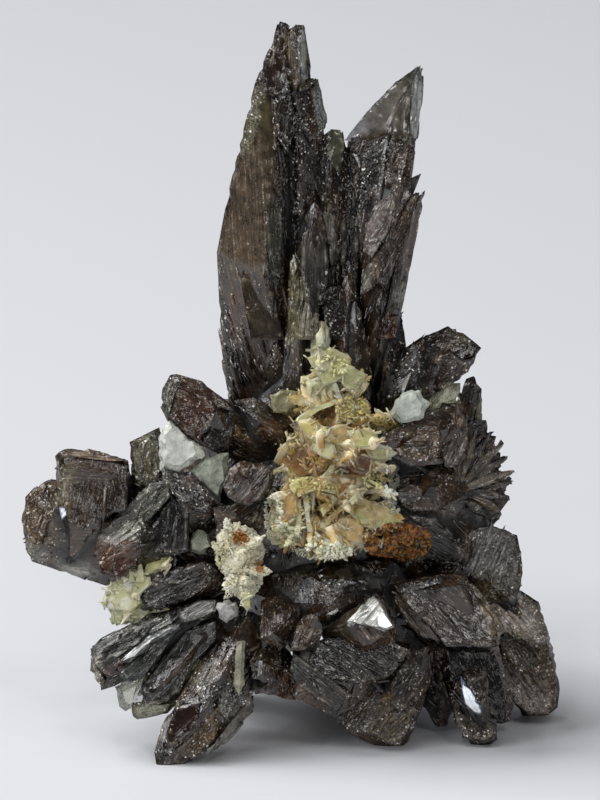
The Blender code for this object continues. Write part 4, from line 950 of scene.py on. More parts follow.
# %% Relief
SEED = 20
STEP_SEED, ROUGH_SEED, CHIP_SEED = 1, 2, 5
STEP_LENGTH = 9.0 * MM
STEP_WIDTH = 0.9 * MM
STEP_COUNT = 5
STEP_DEPTH = 0.24 * MM
ROUGH_CELLS = ((0.5 * MM, 0.05 * MM), (1.6 * MM, 0.08 * MM))
CHIP_CELL = 0.55 * MM
CHIP_DEPTH = 0.22 * MM
CHIP_REACH = 0.35 * MM
CHIP_FROM, CHIP_FULL = 0.52, 0.8
SMOOTH_SHARE = 0.08
# What a face without a blade draws, and how much of it a smooth one keeps
LINED_DRAW = (0.1, 1.0)
GRAINY_DRAW = (0.15, 0.5, 1.0)
SMOOTH_GRAIN = 0.3
SMOOTH_STEPS = 0.15
LEAST_STEPS = 0.25
GRAIN_STEPS = 0.6
FACE_SHIFT_MM = 10
INNER_REACH = 0.55 * MM
GROUND_HEIGHT = 0.02 * MM
BOX_MARGIN = 0.01 * MM

chance = np.random.default_rng(SEED)
facet_draw = chance.random(facet_count)
facet_smooth = (facet_draw < SMOOTH_SHARE) & (facet_blade < 0)


def of_blade(column, other):
    """For each face, its blade's value in a column of the table, or another value where it has none."""
    values = np.array([one[column] for one in blades] + [0.0], dtype=float)
    return np.where(facet_blade >= 0, values[facet_blade], other)


facet_mirror = np.where(facet_front, of_blade(MIRROR, 0.0), 0.0)

in_face = points - facet_centre[point_facet]
plane = np.stack([(in_face * facet_along[point_facet]).sum(axis=1),
                  (in_face * facet_across[point_facet]).sum(axis=1),
                  point_facet * FACE_SHIFT_MM * MM], axis=1)
steps = np.floor(noise(plane, (STEP_LENGTH, STEP_WIDTH, MM), STEP_SEED) * STEP_COUNT) / STEP_COUNT - 0.5
rough = layered(points, ROUGH_CELLS, ROUGH_SEED)
facet_lined = of_blade(LINED, chance.uniform(*LINED_DRAW, facet_count) * ~facet_smooth)
drawn_grain = chance.choice(GRAINY_DRAW, facet_count) * np.where(facet_smooth, SMOOTH_GRAIN, 1.0)
facet_grainy = of_blade(GRAINY, drawn_grain)
busy = np.maximum(facet_lined, GRAIN_STEPS * facet_grainy)
stepped_part = np.where(facet_smooth, SMOOTH_STEPS, LEAST_STEPS + (1 - LEAST_STEPS) * busy)[point_facet]
quiet = 1 - facet_mirror[point_facet]
inner = smoothstep(np.minimum(rim, cleft), 0.0, INNER_REACH) * quiet
push = (steps * STEP_DEPTH + rough) * stepped_part * inner
chip = smoothstep(noise(points, CHIP_CELL, CHIP_SEED), CHIP_FROM, CHIP_FULL) * CHIP_DEPTH
chip = chip * (1 - smoothstep(rim, 0.0, CHIP_REACH))
moved = points + facet_normal[point_facet] * push[:, None]
moved -= point_normals(points, faces) * (chip * quiet)[:, None]
on_ground = points[:, 2] < GROUND_HEIGHT
moved[on_ground] = points[on_ground]
box_low = np.array(cad_box[0]) + BOX_MARGIN
box_high = np.array(cad_box[1]) - BOX_MARGIN
moved = np.where(on_ground[:, None], moved, np.clip(moved, box_low, box_high))
print("relief from", (push.min() / MM).round(2), "to", (push.max() / MM).round(2), "mm")

# %% [markdown]
# ## Colour of the axinite
#
# The brown of axinite comes from iron and manganese. Where a crystal is thick it is nearly black, and
# where it is thin it glows red-brown, golden or olive. Greyish-violet faces mirror the room. So each
# face draws a brown of its own, and the zones seen in the picture are laid over it, each one a soft
# oval in the picture plane, with a ragged edge.

# %% Stains and zones
BROWNS = ("362a22", "43342b", "241d19", "4a3b33", "3a332b", "4d392f")
DEEPEN = 0.34
LIGHTER_PART = 0.5
WARMTH = np.array([1.1, 1.0, 0.74])
# Name, across and up in millimetres, half sizes, lean in degrees, colour and strength
ZONES = (
    ("warm brown face of the tall blade", -4.4, 51.0, 2.2, 9.5, -4, "64574c", 0.75),
    ("its upper brown", -2.2, 66.6, 1.5, 3.2, -12, "3a2924", 0.8),
    ("green-grey band", -2.4, 61.6, 0.6, 2.6, 0, "5f5a49", 0.7),
    ("chipped translucent edge", -3.7, 61.6, 0.7, 3.4, -14, "7b7d6c", 0.75),
    ("olive strip at the tip", 0.0, 67.2, 0.6, 3.0, 4, "5f4c30", 0.8),
    ("clear strip at the tip", 1.2, 68.0, 0.45, 3.0, 0, "a6a8a2", 0.85),
    ("clear strip of the back blade", 2.9, 62.6, 0.5, 2.6, 8, "a4a8a6", 0.85),
    ("granular dark", 1.2, 58.2, 2.2, 5.6, 0, "1e1815", 0.85),
    ("slate face", -1.4, 49.0, 0.9, 5.0, -6, "3d4243", 0.7),
    ("brown patch low on the tall blade", -5.2, 41.6, 1.3, 3.2, 0, "5d4638", 0.7),
    ("violet-grey foot of the tall blade", -2.9, 39.2, 2.0, 5.4, -8, "403a3c", 0.75),
    ("slate blade", 2.6, 48.4, 1.5, 4.0, 0, "4b4a52", 0.75),
    ("olive blade", 0.6, 43.0, 0.9, 4.4, -4, "6f6a4b", 0.8),
    ("purple-brown in the cleft", 5.6, 43.4, 0.9, 4.0, 0, "4d3437", 0.7),
    ("grey top of the middle blade", 4.6, 58.6, 0.8, 2.0, 0, "575c56", 0.75),
    ("pale upper face of the right blade", 9.2, 62.0, 3.0, 2.5, 40, "858388", 0.85),
    ("darker face beside it", 11.2, 62.2, 1.0, 3.2, -12, "696564", 0.8),
    ("clear edge of the right blade", 12.6, 63.0, 0.6, 3.8, -3, "c0c4c2", 0.85),
    ("brown foot of the glassy face", 8.4, 59.4, 2.8, 1.1, 8, "34271f", 0.9),
    ("golden brown", 11.2, 56.8, 1.3, 2.4, -30, "5e4432", 0.6),
    ("violet-grey right face", 8.9, 52.0, 1.5, 4.6, -22, "6a6067", 0.75),
    ("striated brown", 11.5, 49.4, 1.1, 4.8, -18, "594439", 0.6),
    ("red glow", 9.9, 41.0, 1.0, 1.2, 0, "5a2f1a", 0.7),
    ("grey tooth", 11.0, 43.8, 0.5, 0.9, -20, "8e8e8a", 0.8),
    ("red-brown arm", 12.0, 38.8, 2.0, 1.4, 40, "3c221d", 0.6),
    # Painted highlight: the tan streak on the arm.
    ("painted highlight of the arm", 15.2, 38.2, 0.4, 1.4, -38, "99846c", 0.8),
    ("grey-brown end of the arm", 16.6, 39.6, 1.6, 0.9, 0, "6b6257", 0.75),
    ("brown flat crystal", 13.2, 29.4, 3.0, 1.7, 12, "5b473c", 0.75),
    ("grey end of the flat crystal", 17.2, 29.8, 1.0, 1.6, 0, "6f6765", 0.8),
    ("pink-brown blade", 17.0, 32.0, 0.7, 1.6, -10, "7b6359", 0.7),
    ("fan brown", 20.2, 25.8, 1.8, 2.6, 30, "46372f", 0.7),
    ("iron stain", 10.8, 19.4, 2.6, 1.6, 8, "6b3410", 0.9),
    # Painted shade: the two hollows below are darkened to near black, where shade falls.
    ("painted shade beside the iron", 15.2, 18.6, 2.6, 2.6, 0, "0a0807", 0.95),
    ("painted shade above the mirrors", 7.2, 15.2, 4.6, 1.6, 0, "15100d", 0.8),
    ("sparkling grey block", 20.4, 17.4, 3.0, 3.0, 0, "6c6c66", 0.8),
    ("violet-brown block top", 16.0, 12.6, 4.6, 2.6, -18, "443d3e", 0.7),
    ("tan end of the block", 20.0, 12.6, 1.0, 3.0, 10, "8b7f66", 0.75),
    ("grey-brown foot on the right", 24.2, 9.6, 2.8, 4.6, -20, "5f564c", 0.8),
    ("tan patch on it", 23.0, 10.6, 1.6, 0.9, -20, "85735e", 0.8),
    ("red-brown tip of it", 24.8, 5.4, 1.8, 2.2, 0, "5e4137", 0.75),
    ("centre foot", 9.6, 3.6, 4.2, 3.4, 35, "554739", 0.75),
    ("golden patch", 9.6, 4.0, 0.8, 0.6, 0, "a27b3b", 0.8),
    ("red rim underneath", 0.6, 3.4, 3.6, 1.2, 12, "573529", 0.7),
    ("pink-brown face", 1.4, 10.7, 1.4, 1.9, 0, "64504a", 0.6),
    ("brown column", -1.0, 11.2, 1.8, 2.4, 0, "4d3a32", 0.7),
    ("charcoal fan crystal", -13.6, 9.6, 5.6, 2.8, 28, "303538", 0.85),
    ("red-brown streak of it", -17.4, 6.9, 0.6, 1.7, -55, "552d24", 0.8),
    ("pale end of it", -19.3, 6.6, 0.6, 2.0, 0, "9a958a", 0.8),
    ("olive rim of the lower crystal", -13.6, 2.7, 2.4, 0.7, 12, "a5a78f", 0.8),
    ("dark red face of the front foot", -10.8, 1.2, 1.5, 2.6, -35, "35211c", 0.85),
    ("clear tan of the front foot", -7.9, 1.0, 1.3, 2.6, -38, "6b5c4c", 0.5),
    ("grey side of the front foot", -5.0, 1.9, 1.2, 2.9, -35, "716e6e", 0.8),
    ("granular grey of the front foot", -9.0, 6.2, 1.6, 1.9, -30, "5d5c57", 0.7),
    ("far left brown", -24.6, 21.4, 2.2, 4.2, 0, "6a5849", 0.8),
    ("clear grey edge below", -21.2, 16.6, 2.2, 1.0, -20, "9b9a96", 0.8),
    ("clear grey edge on the left", -25.4, 18.2, 1.3, 1.0, 0, "8c8d84", 0.8),
    ("brown block", -19.6, 24.0, 3.8, 4.2, 0, "51423a", 0.8),
    # Painted highlight: a pale strip along the top of the brown block.
    ("painted highlight strip on its top", -19.6, 28.0, 2.6, 0.4, -8, "8d7b73", 0.85),
    ("olive side of it", -22.2, 24.4, 1.0, 3.2, 0, "77705c", 0.7),
    ("nearly black side of it", -16.8, 23.4, 1.3, 2.4, 0, "261d1c", 0.8),
    ("green-grey crystal", -14.6, 27.6, 1.8, 2.4, 0, "6d6c5b", 0.8),
    ("green-grey diagonal", -14.6, 22.4, 1.4, 4.4, -38, "5b5f54", 0.8),
    ("dark wedge", -12.4, 20.4, 1.8, 2.4, -20, "232023", 0.8),
    ("red-brown low crystal", -17.2, 18.0, 2.0, 1.9, 0, "68473a", 0.8),
    ("red-brown blade", -9.4, 33.0, 2.4, 1.9, -25, "4f2f2a", 0.8),
    ("green-grey side of it", -12.1, 33.6, 0.7, 1.9, 0, "4b5149", 0.8),
    ("brown striated crystal", -4.2, 25.7, 2.0, 2.0, 0, "5a4238", 0.8),
)
ZONE_SEED, DRIFT_SEED = 7, 8
ZONE_RAGGED_CELL = 0.9 * MM
ZONE_RAGGED = 0.7
ZONE_FADE = (0.65, 1.2)
ZONE_FACING = (-0.2, 0.2)
WHOLLY_FREE = 0.99
DRIFT_CELL = 3.5 * MM
DRIFT_LEAST, DRIFT_SPAN, DRIFT_RANGE = 0.45, 1.1, (0.25, 0.75)
FRONT_SHADES, BACK_SHADES = (0.85, 1.15), (0.35, 1.3)
BLADE_TAKES, BLADE_RIM = 0.35, (0.1 * MM, 0.7 * MM)
DARK_RANGE = (0.08, 0.3)
STRIAE_SHIFTS, STRIAE_SHIFT_MM = 97, 3.1
FARTHEST_MM = 3.0
ZONE_COLOURS = np.array([rgb(code) for *_, code, _ in ZONES])

# What a face's skin is like: name, across, up, half sizes, lean, and how lined and how grainy it is
FINISHES = (
    ("tall blade face", -4.5, 52.0, 2.6, 12.0, -4, 0.45, 0.22),
    ("chipped edge", -4.0, 62.0, 1.2, 4.5, -14, 0.2, 1.0),
    ("granular dark", 1.2, 58.0, 2.6, 6.5, 0, 0.2, 1.0),
    ("slate blade", 2.6, 48.4, 1.8, 4.4, 0, 0.35, 0.1),
    ("olive blade", 0.6, 43.0, 1.1, 4.6, -4, 0.5, 0.5),
    ("right blade top", 9.6, 62.0, 3.6, 3.6, 20, 0.25, 0.05),
    ("right blade middle", 9.6, 55.4, 2.8, 2.8, 0, 0.2, 1.0),
    ("right blade foot", 9.0, 50.0, 2.4, 5.0, -20, 0.6, 0.5),
    ("right arm", 15.0, 37.5, 4.4, 3.2, 40, 0.3, 0.8),
    ("flat crystal", 13.8, 29.4, 4.4, 2.2, 8, 0.3, 0.9), ("fan", 20.2, 26.0, 3.0, 5.4, 20, 1.0, 0.5),
    ("sparkling block", 20.4, 17.4, 3.6, 3.6, 0, 0.3, 1.0),
    ("flat-topped block", 16.0, 12.6, 5.2, 3.0, -18, 0.4, 0.15),
    ("right foot", 24.2, 9.6, 3.2, 5.4, -20, 0.2, 1.0), ("centre feet", 9.6, 3.6, 4.8, 3.8, 35, 0.2, 1.0),
    ("centre mass", 0.0, 12.6, 4.2, 4.4, 0, 0.5, 0.6),
    ("fan crystal", -13.6, 9.6, 6.4, 3.4, 28, 1.0, 0.1),
    ("front foot", -9.0, 4.0, 3.4, 6.2, -35, 0.4, 0.9), ("far left", -24.6, 21.4, 2.8, 5.0, 0, 0.2, 1.0),
    ("brown block", -19.6, 24.0, 4.2, 4.8, 0, 0.9, 0.4),
    ("green-grey diagonal", -14.6, 22.4, 2.2, 5.2, -38, 1.0, 0.7),
    ("upper left arm", -9.6, 33.0, 3.4, 2.6, -25, 0.2, 0.7),
    ("brown striated", -4.2, 25.7, 2.4, 2.4, 0, 1.0, 0.4),
)


# %% [markdown]
# ## Painting the colours on
#
# The colours could be put in a picture that is wrapped around the specimen, but such a picture has to
# be fitted to every face. Here each point of the mesh carries its own colour, and its other values, as
# attributes. With triangles this fine the colour is fine too, and nothing has to be unwrapped.

# %% Painting
def oval(across, up, ragged, x, y, half_x, half_y, lean):
    """1 inside a leaning oval and 0 outside: sqrt((u / a)^2 + (v / b)^2) plus noise against about 1."""
    turn = math.radians(lean)
    u = ((across - x) * math.cos(turn) + (up - y) * math.sin(turn)) / half_x
    v = ((up - y) * math.cos(turn) - (across - x) * math.sin(turn)) / half_y
    return 1 - smoothstep(np.hypot(u, v) + ragged, *ZONE_FADE)


def zoned(places, normals, colour, lined, grainy, free):
    """Blends the zones' colours and finishes in, as far as a point is free and faces the camera."""
    across, up = drawn(places)
    ragged = (noise(places, ZONE_RAGGED_CELL, ZONE_SEED) - 0.5) * ZONE_RAGGED
    facing = smoothstep(normals @ towards_camera, *ZONE_FACING) * free
    colour, lined, grainy = colour.copy(), lined.copy(), grainy.copy()
    for (_, x, y, half_x, half_y, lean, _, strength), target in zip(ZONES, ZONE_COLOURS):
        weight = strength * facing * oval(across, up, ragged, x, y, half_x, half_y, lean)
        colour += (target - colour) * weight[:, None]
    for _, x, y, half_x, half_y, lean, target_lined, target_grainy in FINISHES:
        weight = (free > WHOLLY_FREE) * facing * oval(across, up, ragged, x, y, half_x, half_y, lean)
        lined += (target_lined - lined) * weight
        grainy += (target_grainy - grainy) * weight
    return colour, lined, grainy


browns = np.array([rgb(code) for code in BROWNS])
facet_colour = browns[chance.integers(len(BROWNS), size=facet_count)]
moved_normals = point_normals(moved, faces)
drift = DRIFT_LEAST + DRIFT_SPAN * smoothstep(noise(points, DRIFT_CELL, DRIFT_SEED), *DRIFT_RANGE)
blade_colours = np.array([rgb(one[COLOUR]) for one in blades])
own_tint = np.where(facet_front, chance.uniform(*FRONT_SHADES, facet_count),
                    chance.uniform(*BACK_SHADES, facet_count))
own_colour = blade_colours[facet_blade] * own_tint[:, None]
facet_colour = np.where((facet_blade >= 0)[:, None], own_colour, facet_colour)
near_rim = BLADE_TAKES + (1 - BLADE_TAKES) * (1 - smoothstep(rim, *BLADE_RIM))
plain = np.where((facet_blade >= 0)[point_facet], near_rim, 1.0)
tint, lined, grainy = zoned(moved, moved_normals, facet_colour[point_facet] * drift[:, None],
                            facet_lined[point_facet], facet_grainy[point_facet], plain * quiet)
lightness = tint.mean(axis=1, keepdims=True)
tint *= (DEEPEN + LIGHTER_PART * np.sqrt(lightness)) * WARMTH ** (1 - smoothstep(lightness, *DARK_RANGE))


def paint_skin(piece, tint, lined, grainy, rim, cleft, polished):
    """The attributes that the axinite's material reads; the two distances are stored in millimetres."""
    paint(piece, "tint", tint)
    for name, values in (("lined", lined), ("grainy", grainy), ("rim", np.minimum(rim / MM, FARTHEST_MM)),
                         ("cleft", np.minimum(cleft / MM, FARTHEST_MM)), ("polish", polished)):
        paint(piece, name, np.broadcast_to(values, len(tint)))


def paint_striae(piece, plane):
    """A UV map in millimetres: u runs along the striae and v across them."""
    layer = piece.data.uv_layers.new(name="striae")
    layer.data.foreach_set("uv", np.ascontiguousarray(plane / MM, dtype=np.float32).ravel())


def axinite_piece(name, chosen):
    """A piece of some of the triangles, with their attributes and a striae map in each face's plane."""
    used, numbers = np.unique(faces[chosen], return_inverse=True)
    piece = piece_from(name, moved[used], numbers.reshape(-1, 3), sharp_angle=20)
    paint_skin(piece, tint[used], lined[used], grainy[used], rim[used], cleft[used], 1 - quiet[used])
    corner_facet = np.repeat(facet[chosen], 3)
    offset = moved[faces[chosen].ravel()] - facet_centre[corner_facet]
    plane = np.stack([(offset * facet_along[corner_facet]).sum(axis=1),
                      (offset * facet_across[corner_facet]).sum(axis=1)], axis=1)
    paint_striae(piece, plane + (corner_facet % STRIAE_SHIFTS)[:, None] * STRIAE_SHIFT_MM * MM)
    return piece


cluster = axinite_piece("axinite_crystals", ~on_blade[coarse_of])
overlay = axinite_piece("axinite_blades", on_blade[coarse_of])
for piece in (cluster, overlay):
    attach(piece, "root")
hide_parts("axinite_cluster")

# %% [markdown]
# ## The axinite's surface
#
# Axinite bends light strongly, with an index near 1.68, so its faces mirror the room like dark glass.
# Four things are laid over the tint. Lines run along each crystal, and every line is a narrow face with
# its own tilt. Grains of a sixth of a millimetre glitter, but only a few of them are tilted enough to
# catch a lamp, and the brightest lines and grains are painted white besides, as painted glints. The
# edges have a dark outline with a broken pale line inside it, where light comes through the thin glass.
# And the clefts fade to a dull black, a painted shade, because next to no light finds its way out of
# them.

# %% Axinite material
AXINITE_IOR = 1.68
GRAIN_SIZE = 0.16 * MM
GRAIN_TILT = 0.16
FLAKE_SHARE = 0.84
FLAKE_TILT = 1.2
LINES_PER_MM = 4.8
LINE_HEIGHT = 0.1 * MM
MOTTLE_SIZE = 1.1 * MM
WAVE_SIZE = 3.2 * MM
WAVE_HEIGHT = 0.16 * MM
FINE_SIZE = 0.22 * MM
FINE_HEIGHT = 0.018 * MM
THIN_EDGE = "8d8572"
# Painted shade: the near black that the clefts fade to
CLEFT_PAINTED_SHADE = "040403"
# The near white of the painted glints on the brightest lines and grains
PAINTED_GLINT_COLOUR = "f2f0ea"
WHITE = (1.0, 1.0, 1.0, 1.0)
MIDDLE = (0.5, 0.5, 0.5)
LINE_STRETCH = 0.06
# Ramps: where each starts and ends in the noise, or in mm from an edge or a cleft, and its two values
MOTTLE_TONE = (0.34, 0.66, 0.42, 1.62)
LINE_TONE = (0.4, 0.6, 0.25, 1.85)
GRAIN_TONE = (0.36, 0.64, 0.28, 1.85)
OUTLINE = (0.0, 0.08, 0.6, 1.0)
PALE_FROM = (0.1, 0.16, 0.0, 1.0)
PALE_TO = (0.2, 0.42, 1.0, 0.0)
PALE_BREAKS = (0.5, 0.62, 0.0, 0.6)
# Masks of the painted glints
PAINTED_GLINT_LINES = (0.575, 0.615, 0.0, 1.0)
PAINTED_GLINT_BREAKS = (0.45, 0.6, 0.0, 1.0)
PAINTED_GLINT_PATCHES = (0.5, 0.6, 0.0, 1.0)
PAINTED_GLINT_FLAKES = (0.945, 0.955, 0.0, 1.0)
PAINTED_GLINT_GRAIN = (0.35, 0.9, 0.0, 1.0)
PAINTED_FLAKE_PATCHES = (0.46, 0.56, 0.15, 1.0)
FLAKE_LEAN = (FLAKE_SHARE, FLAKE_SHARE + 0.01, 0.0, FLAKE_TILT)
LEAN_PATCHES = (0.45, 0.6, 0.3, 1.0)
POLISHED_LINES = (0.0, 0.8, 1.0, 0.16)
DULL_LINES = (0.47, 0.5, 0.2, 0.0)
GRAIN_DULLNESS = (0.0, 1.0, 0.05, 0.12)
CLEFT_SHADE = (0.0, 1.3, 1.0, 0.0)
CLEFT_DULLNESS = (0.0, 1.2, 0.4, 0.0)

axinite, tree, output = new_material("axinite_natural_glassy_faces")
place = node(tree, "ShaderNodeTexCoord").outputs["Object"]
normal = node(tree, "ShaderNodeNewGeometry").outputs["Normal"]
striae = node(tree, "ShaderNodeUVMap", uv_map="striae").outputs["UV"]
tint_in = read(tree, "tint", "Color")
lined_in, rim_in, cleft_in, polish_in = (read(tree, name) for name in ("lined", "rim", "cleft", "polish"))
not_polished = reckoned("SUBTRACT", 1.0, polish_in)
grainy_in = times(read(tree, "grainy"), not_polished)

mottle = cloudy(place, MOTTLE_SIZE, 5.0, 0.7)
fine = cloudy(place, FINE_SIZE, 2.0, 0.7)
stretch = {"Vector": striae, "Scale": (LINE_STRETCH, LINES_PER_MM, 1.0)}
lines = cloudy(node(tree, "ShaderNodeMapping", stretch).outputs[0], 1.0, 3.0, 0.65)

line_tone = mixed(lined_in, WHITE, ramp(lines, *LINE_TONE))
grain_tone = mixed(grainy_in, WHITE, ramp(fine, *GRAIN_TONE))
body_colour = scaled(tint_in, times(times(ramp(mottle, *MOTTLE_TONE), line_tone), grain_tone))
pale_line = times(ramp(rim_in, *PALE_FROM), ramp(rim_in, *PALE_TO))
edged = mixed(times(pale_line, ramp(mottle, *PALE_BREAKS)), body_colour, linear(THIN_EDGE))
outlined = scaled(edged, ramp(rim_in, *OUTLINE))

cells = node(tree, "ShaderNodeTexVoronoi", {"Vector": place, "Scale": 1 / GRAIN_SIZE}).outputs["Color"]
leaning, shining, _ = node(tree, "ShaderNodeSeparateColor", {0: cells}).outputs
# Painted glints: the brightest lines and a few grains are painted near white, standing in for highlights.
painted_line_glint = times(times(ramp(lines, *PAINTED_GLINT_LINES), ramp(fine, *PAINTED_GLINT_BREAKS)),
                   times(lined_in, ramp(mottle, *PAINTED_GLINT_PATCHES)))
painted_flake_glint = times(ramp(shining, *PAINTED_GLINT_FLAKES),
                    times(ramp(grainy_in, *PAINTED_GLINT_GRAIN), ramp(mottle, *PAINTED_FLAKE_PATCHES)))
with_painted_glints = mixed(reckoned("MAXIMUM", painted_line_glint, painted_flake_glint), outlined, linear(PAINTED_GLINT_COLOUR))
# Painted shade: towards each cleft the colour fades to near black, as shade falls there.
shaded = mixed(ramp(cleft_in, *CLEFT_SHADE), with_painted_glints, linear(CLEFT_PAINTED_SHADE))

either_way = node(tree, "ShaderNodeVectorMath", {0: cells, 1: MIDDLE}, operation="SUBTRACT").outputs[0]
flake = times(ramp(leaning, *FLAKE_LEAN), ramp(mottle, *LEAN_PATCHES))
tilt = scaled(either_way, times(reckoned("ADD", GRAIN_TILT, flake), grainy_in))
wavy = bumped(cloudy(place, WAVE_SIZE, 1.0), WAVE_HEIGHT, times(not_polished, not_polished), normal)
striated = bumped(lines, LINE_HEIGHT, times(lined_in, ramp(polish_in, *POLISHED_LINES)), wavy)
grained = bumped(fine, FINE_HEIGHT, grainy_in, striated)
facing_out = node(tree, "ShaderNodeVectorMath", {0: grained, 1: tilt}, operation="ADD").outputs[0]
facing_out = node(tree, "ShaderNodeVectorMath", {0: facing_out}, operation="NORMALIZE").outputs[0]
dull_lines = times(ramp(lines, *DULL_LINES), times(lined_in, lined_in))
dullness = reckoned("ADD", ramp(grainy_in, *GRAIN_DULLNESS), dull_lines)
dullness = reckoned("ADD", dullness, ramp(cleft_in, *CLEFT_DULLNESS))
glossy(output, {"Base Color": shaded, "Roughness": dullness, "IOR": AXINITE_IOR, "Normal": facing_out})
cluster.data.materials.append(axinite)
overlay.data.materials.append(axinite)

# %% [markdown]
# ## Small crystals on the faces
#
# Up close the faces are crowded with little crystals that lie in step with the big one: low plates with
# slanting ends, which point the way that the striae run. They are real shapes here, because a bump in a
# material has no edge to catch the light. One plate is two six-sided rings, the upper one smaller, and
# all of a kind are worked out in one go and kept within their face.

# %% Plates
PLATE_RING = np.array([(-1.0, -0.2), (-0.62, -1.0), (0.5, -1.0), (1.0, 0.1), (0.66, 1.0), (-0.45, 1.0)])
PLATE_TOP = (0.8, 0.5)
PLATE_SINK = 0.16 * MM
PLATE_POINTS = 12
PLATE_CAPS = [(6, 7, 8), (6, 8, 11), (11, 8, 9), (11, 9, 10), (0, 2, 1), (0, 5, 2), (5, 3, 2), (5, 4, 3)]


def side_faces(bands):
    """The triangles between rings of six points, one band after another."""
    triangles = []
    for low in range(0, 6 * bands, 6):
        for k in range(6):
            a, b = low + k, low + (k + 1) % 6
            triangles += [(a, b, b + 6), (a, b + 6, a + 6)]
    return triangles


PLATE_FACES = np.array(side_faces(1) + PLATE_CAPS)


def plates(centre, along, across, out, half_length, half_width, height, lean):
    """Flat six-sided plates: ring points are centre + u * along + v * across, and the top is smaller.

    Its height rises with u and v by the two leans, so that each top face tilts its own way.
    """
    u = PLATE_RING[:, 0] * half_length[:, None]
    v = PLATE_RING[:, 1] * half_width[:, None]
    bottom = centre[:, None] + u[..., None] * along[:, None] + v[..., None] * across[:, None]
    bottom -= PLATE_SINK * out[:, None]
    rise = height[:, None] * (1 + lean[:, :1] * PLATE_RING[:, 0] + lean[:, 1:] * PLATE_RING[:, 1])
    top = centre[:, None] + PLATE_TOP[0] * u[..., None] * along[:, None]
    top = top + PLATE_TOP[1] * v[..., None] * across[:, None] + rise[..., None] * out[:, None]
    corners = np.concatenate([bottom, top], axis=1)
    numbers = PLATE_FACES[None] + PLATE_POINTS * np.arange(len(centre))[:, None, None]
    uv = np.tile(np.stack([u, v], axis=2), (1, 2, 1))
    return corners.reshape(-1, 3), numbers.reshape(-1, 3), uv.reshape(-1, 2)


# For each kind: how many, half length, half width over half length, height in mm, the room it needs, and
# how far it strays from the striae in radians
PLATE_KINDS = (
    ("laminae", 800, (1.2, 3.4), (0.06, 0.16), (0.12, 0.36), 0.7, 0.08),
    ("plates", 2400, (0.4, 1.3), (0.12, 0.3), (0.06, 0.22), 0.3, 0.3),
    ("grains", 4200, (0.12, 0.34), (0.4, 0.8), (0.05, 0.16), 0.15, 0.3),
)
# How crowded they are on the coarser back, on smooth faces and on plain ones
BACK_FROM = 0.002
BACK_CROWD = 1.7
SMOOTH_CROWD = 0.12
PLAIN_CROWD = 0.02
BUSY_RANGE = (0.25, 0.6)
LEAST_LINED = 0.25
GRAIN_HINDERS = 0.4
# The most that a plate's half length and half width may be of its room, and its height of its half width
LONGEST, WIDEST, HIGHEST = 1.6, 0.7, 0.8
TOP_LEAN = 0.9
PLATE_SHADES = (0.45, 1.8)
PLATE_LINED, PLATE_GRAINY, PLATE_CLEFT = 0.7, 0.6, 0.3 * MM

room = np.minimum(rim, cleft)
made = []
for kind, count, lengths, shares, heights, needed, stray in PLATE_KINDS:
    weight = (room > needed * MM) * quiet * ~on_ground * np.where(points[:, 1] < BACK_FROM, 1.0, BACK_CROWD)
    on_lines = (LEAST_LINED + lined) * (1 - GRAIN_HINDERS * grainy) + LEAST_LINED
    weight = weight * np.where(kind == "grains", grainy ** 2, on_lines)
    weight = weight * np.where(facet_smooth[point_facet], SMOOTH_CROWD, 1.0)
    weight = weight * (PLAIN_CROWD + smoothstep(np.maximum(lined, grainy), *BUSY_RANGE))
    picked = chance.choice(len(points), size=count, replace=False, p=weight / weight.sum())
    own = point_facet[picked]
    half_length = np.minimum(chance.uniform(*lengths, count) * MM, LONGEST * room[picked])
    half_width = np.minimum(half_length * chance.uniform(*shares, count), WIDEST * room[picked])
    height = np.minimum(chance.uniform(*heights, count) * MM, half_width * HIGHEST)
    turn = chance.normal(0, stray, count)[:, None]
    along = facet_along[own] * np.cos(turn) + facet_across[own] * np.sin(turn)
    lean = chance.uniform(-TOP_LEAN, TOP_LEAN, (count, 2))
    across = np.cross(facet_normal[own], along)
    made.append((picked, *plates(moved[picked], along, across, facet_normal[own],
                                 half_length, half_width, height, lean)))
plate_points, plate_faces, _ = joined([(corners, numbers) for _, corners, numbers, _ in made])
plate_uv = np.vstack([uv for *_, uv in made])
picked = np.concatenate([part[0] for part in made])

overgrowth = piece_from("axinite_small_crystals", np.clip(plate_points, box_low, box_high), plate_faces)
spread = np.repeat(picked, PLATE_POINTS)
shade_of_plate = np.repeat(chance.uniform(*PLATE_SHADES, len(picked)), PLATE_POINTS)[:, None]
paint_skin(overgrowth, tint[spread] * shade_of_plate, lined[spread] * PLATE_LINED,
           grainy[spread] * PLATE_GRAINY, FARTHEST_MM * MM, np.maximum(cleft[spread], PLATE_CLEFT), 0.0)
paint_striae(overgrowth, plate_uv[plate_faces.ravel()])
overgrowth.data.materials.append(axinite)
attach(overgrowth, "root")

# %% [markdown]
# ## Quartz
#
# The quartz came last, as crusts of needles and stubby wedges a few tenths of a millimetre thick, which
# lie across each other in every direction. It is clear at the tips and honey-coloured near the roots,
# where iron has seeped in. One crystal is three six-sided rings: its foot, its shoulder and a tip that
# is nearly a point or a chisel edge. Hundreds of them are made at once from arrays. The larger plates
# and laths are drawn as outlines, like the blades, and grains like sugar lie along the crust's edges.

# %% Quartz crystals
PRISM_POINTS = 18
FOOT_SIZE = 0.92
TIP_DEPTH = 0.06
UPRIGHT = 0.8
FACES_BACK = 0.35
HEXAGON = np.array([(math.cos(k * math.pi / 3), math.sin(k * math.pi / 3)) for k in range(6)])
FOOT_CAP = [(0, k + 1, k) for k in range(1, 5)]
TIP_CAP = [(12, 12 + k, 13 + k) for k in range(1, 5)]
PRISM_FACES = np.array(side_faces(2) + FOOT_CAP + TIP_CAP)


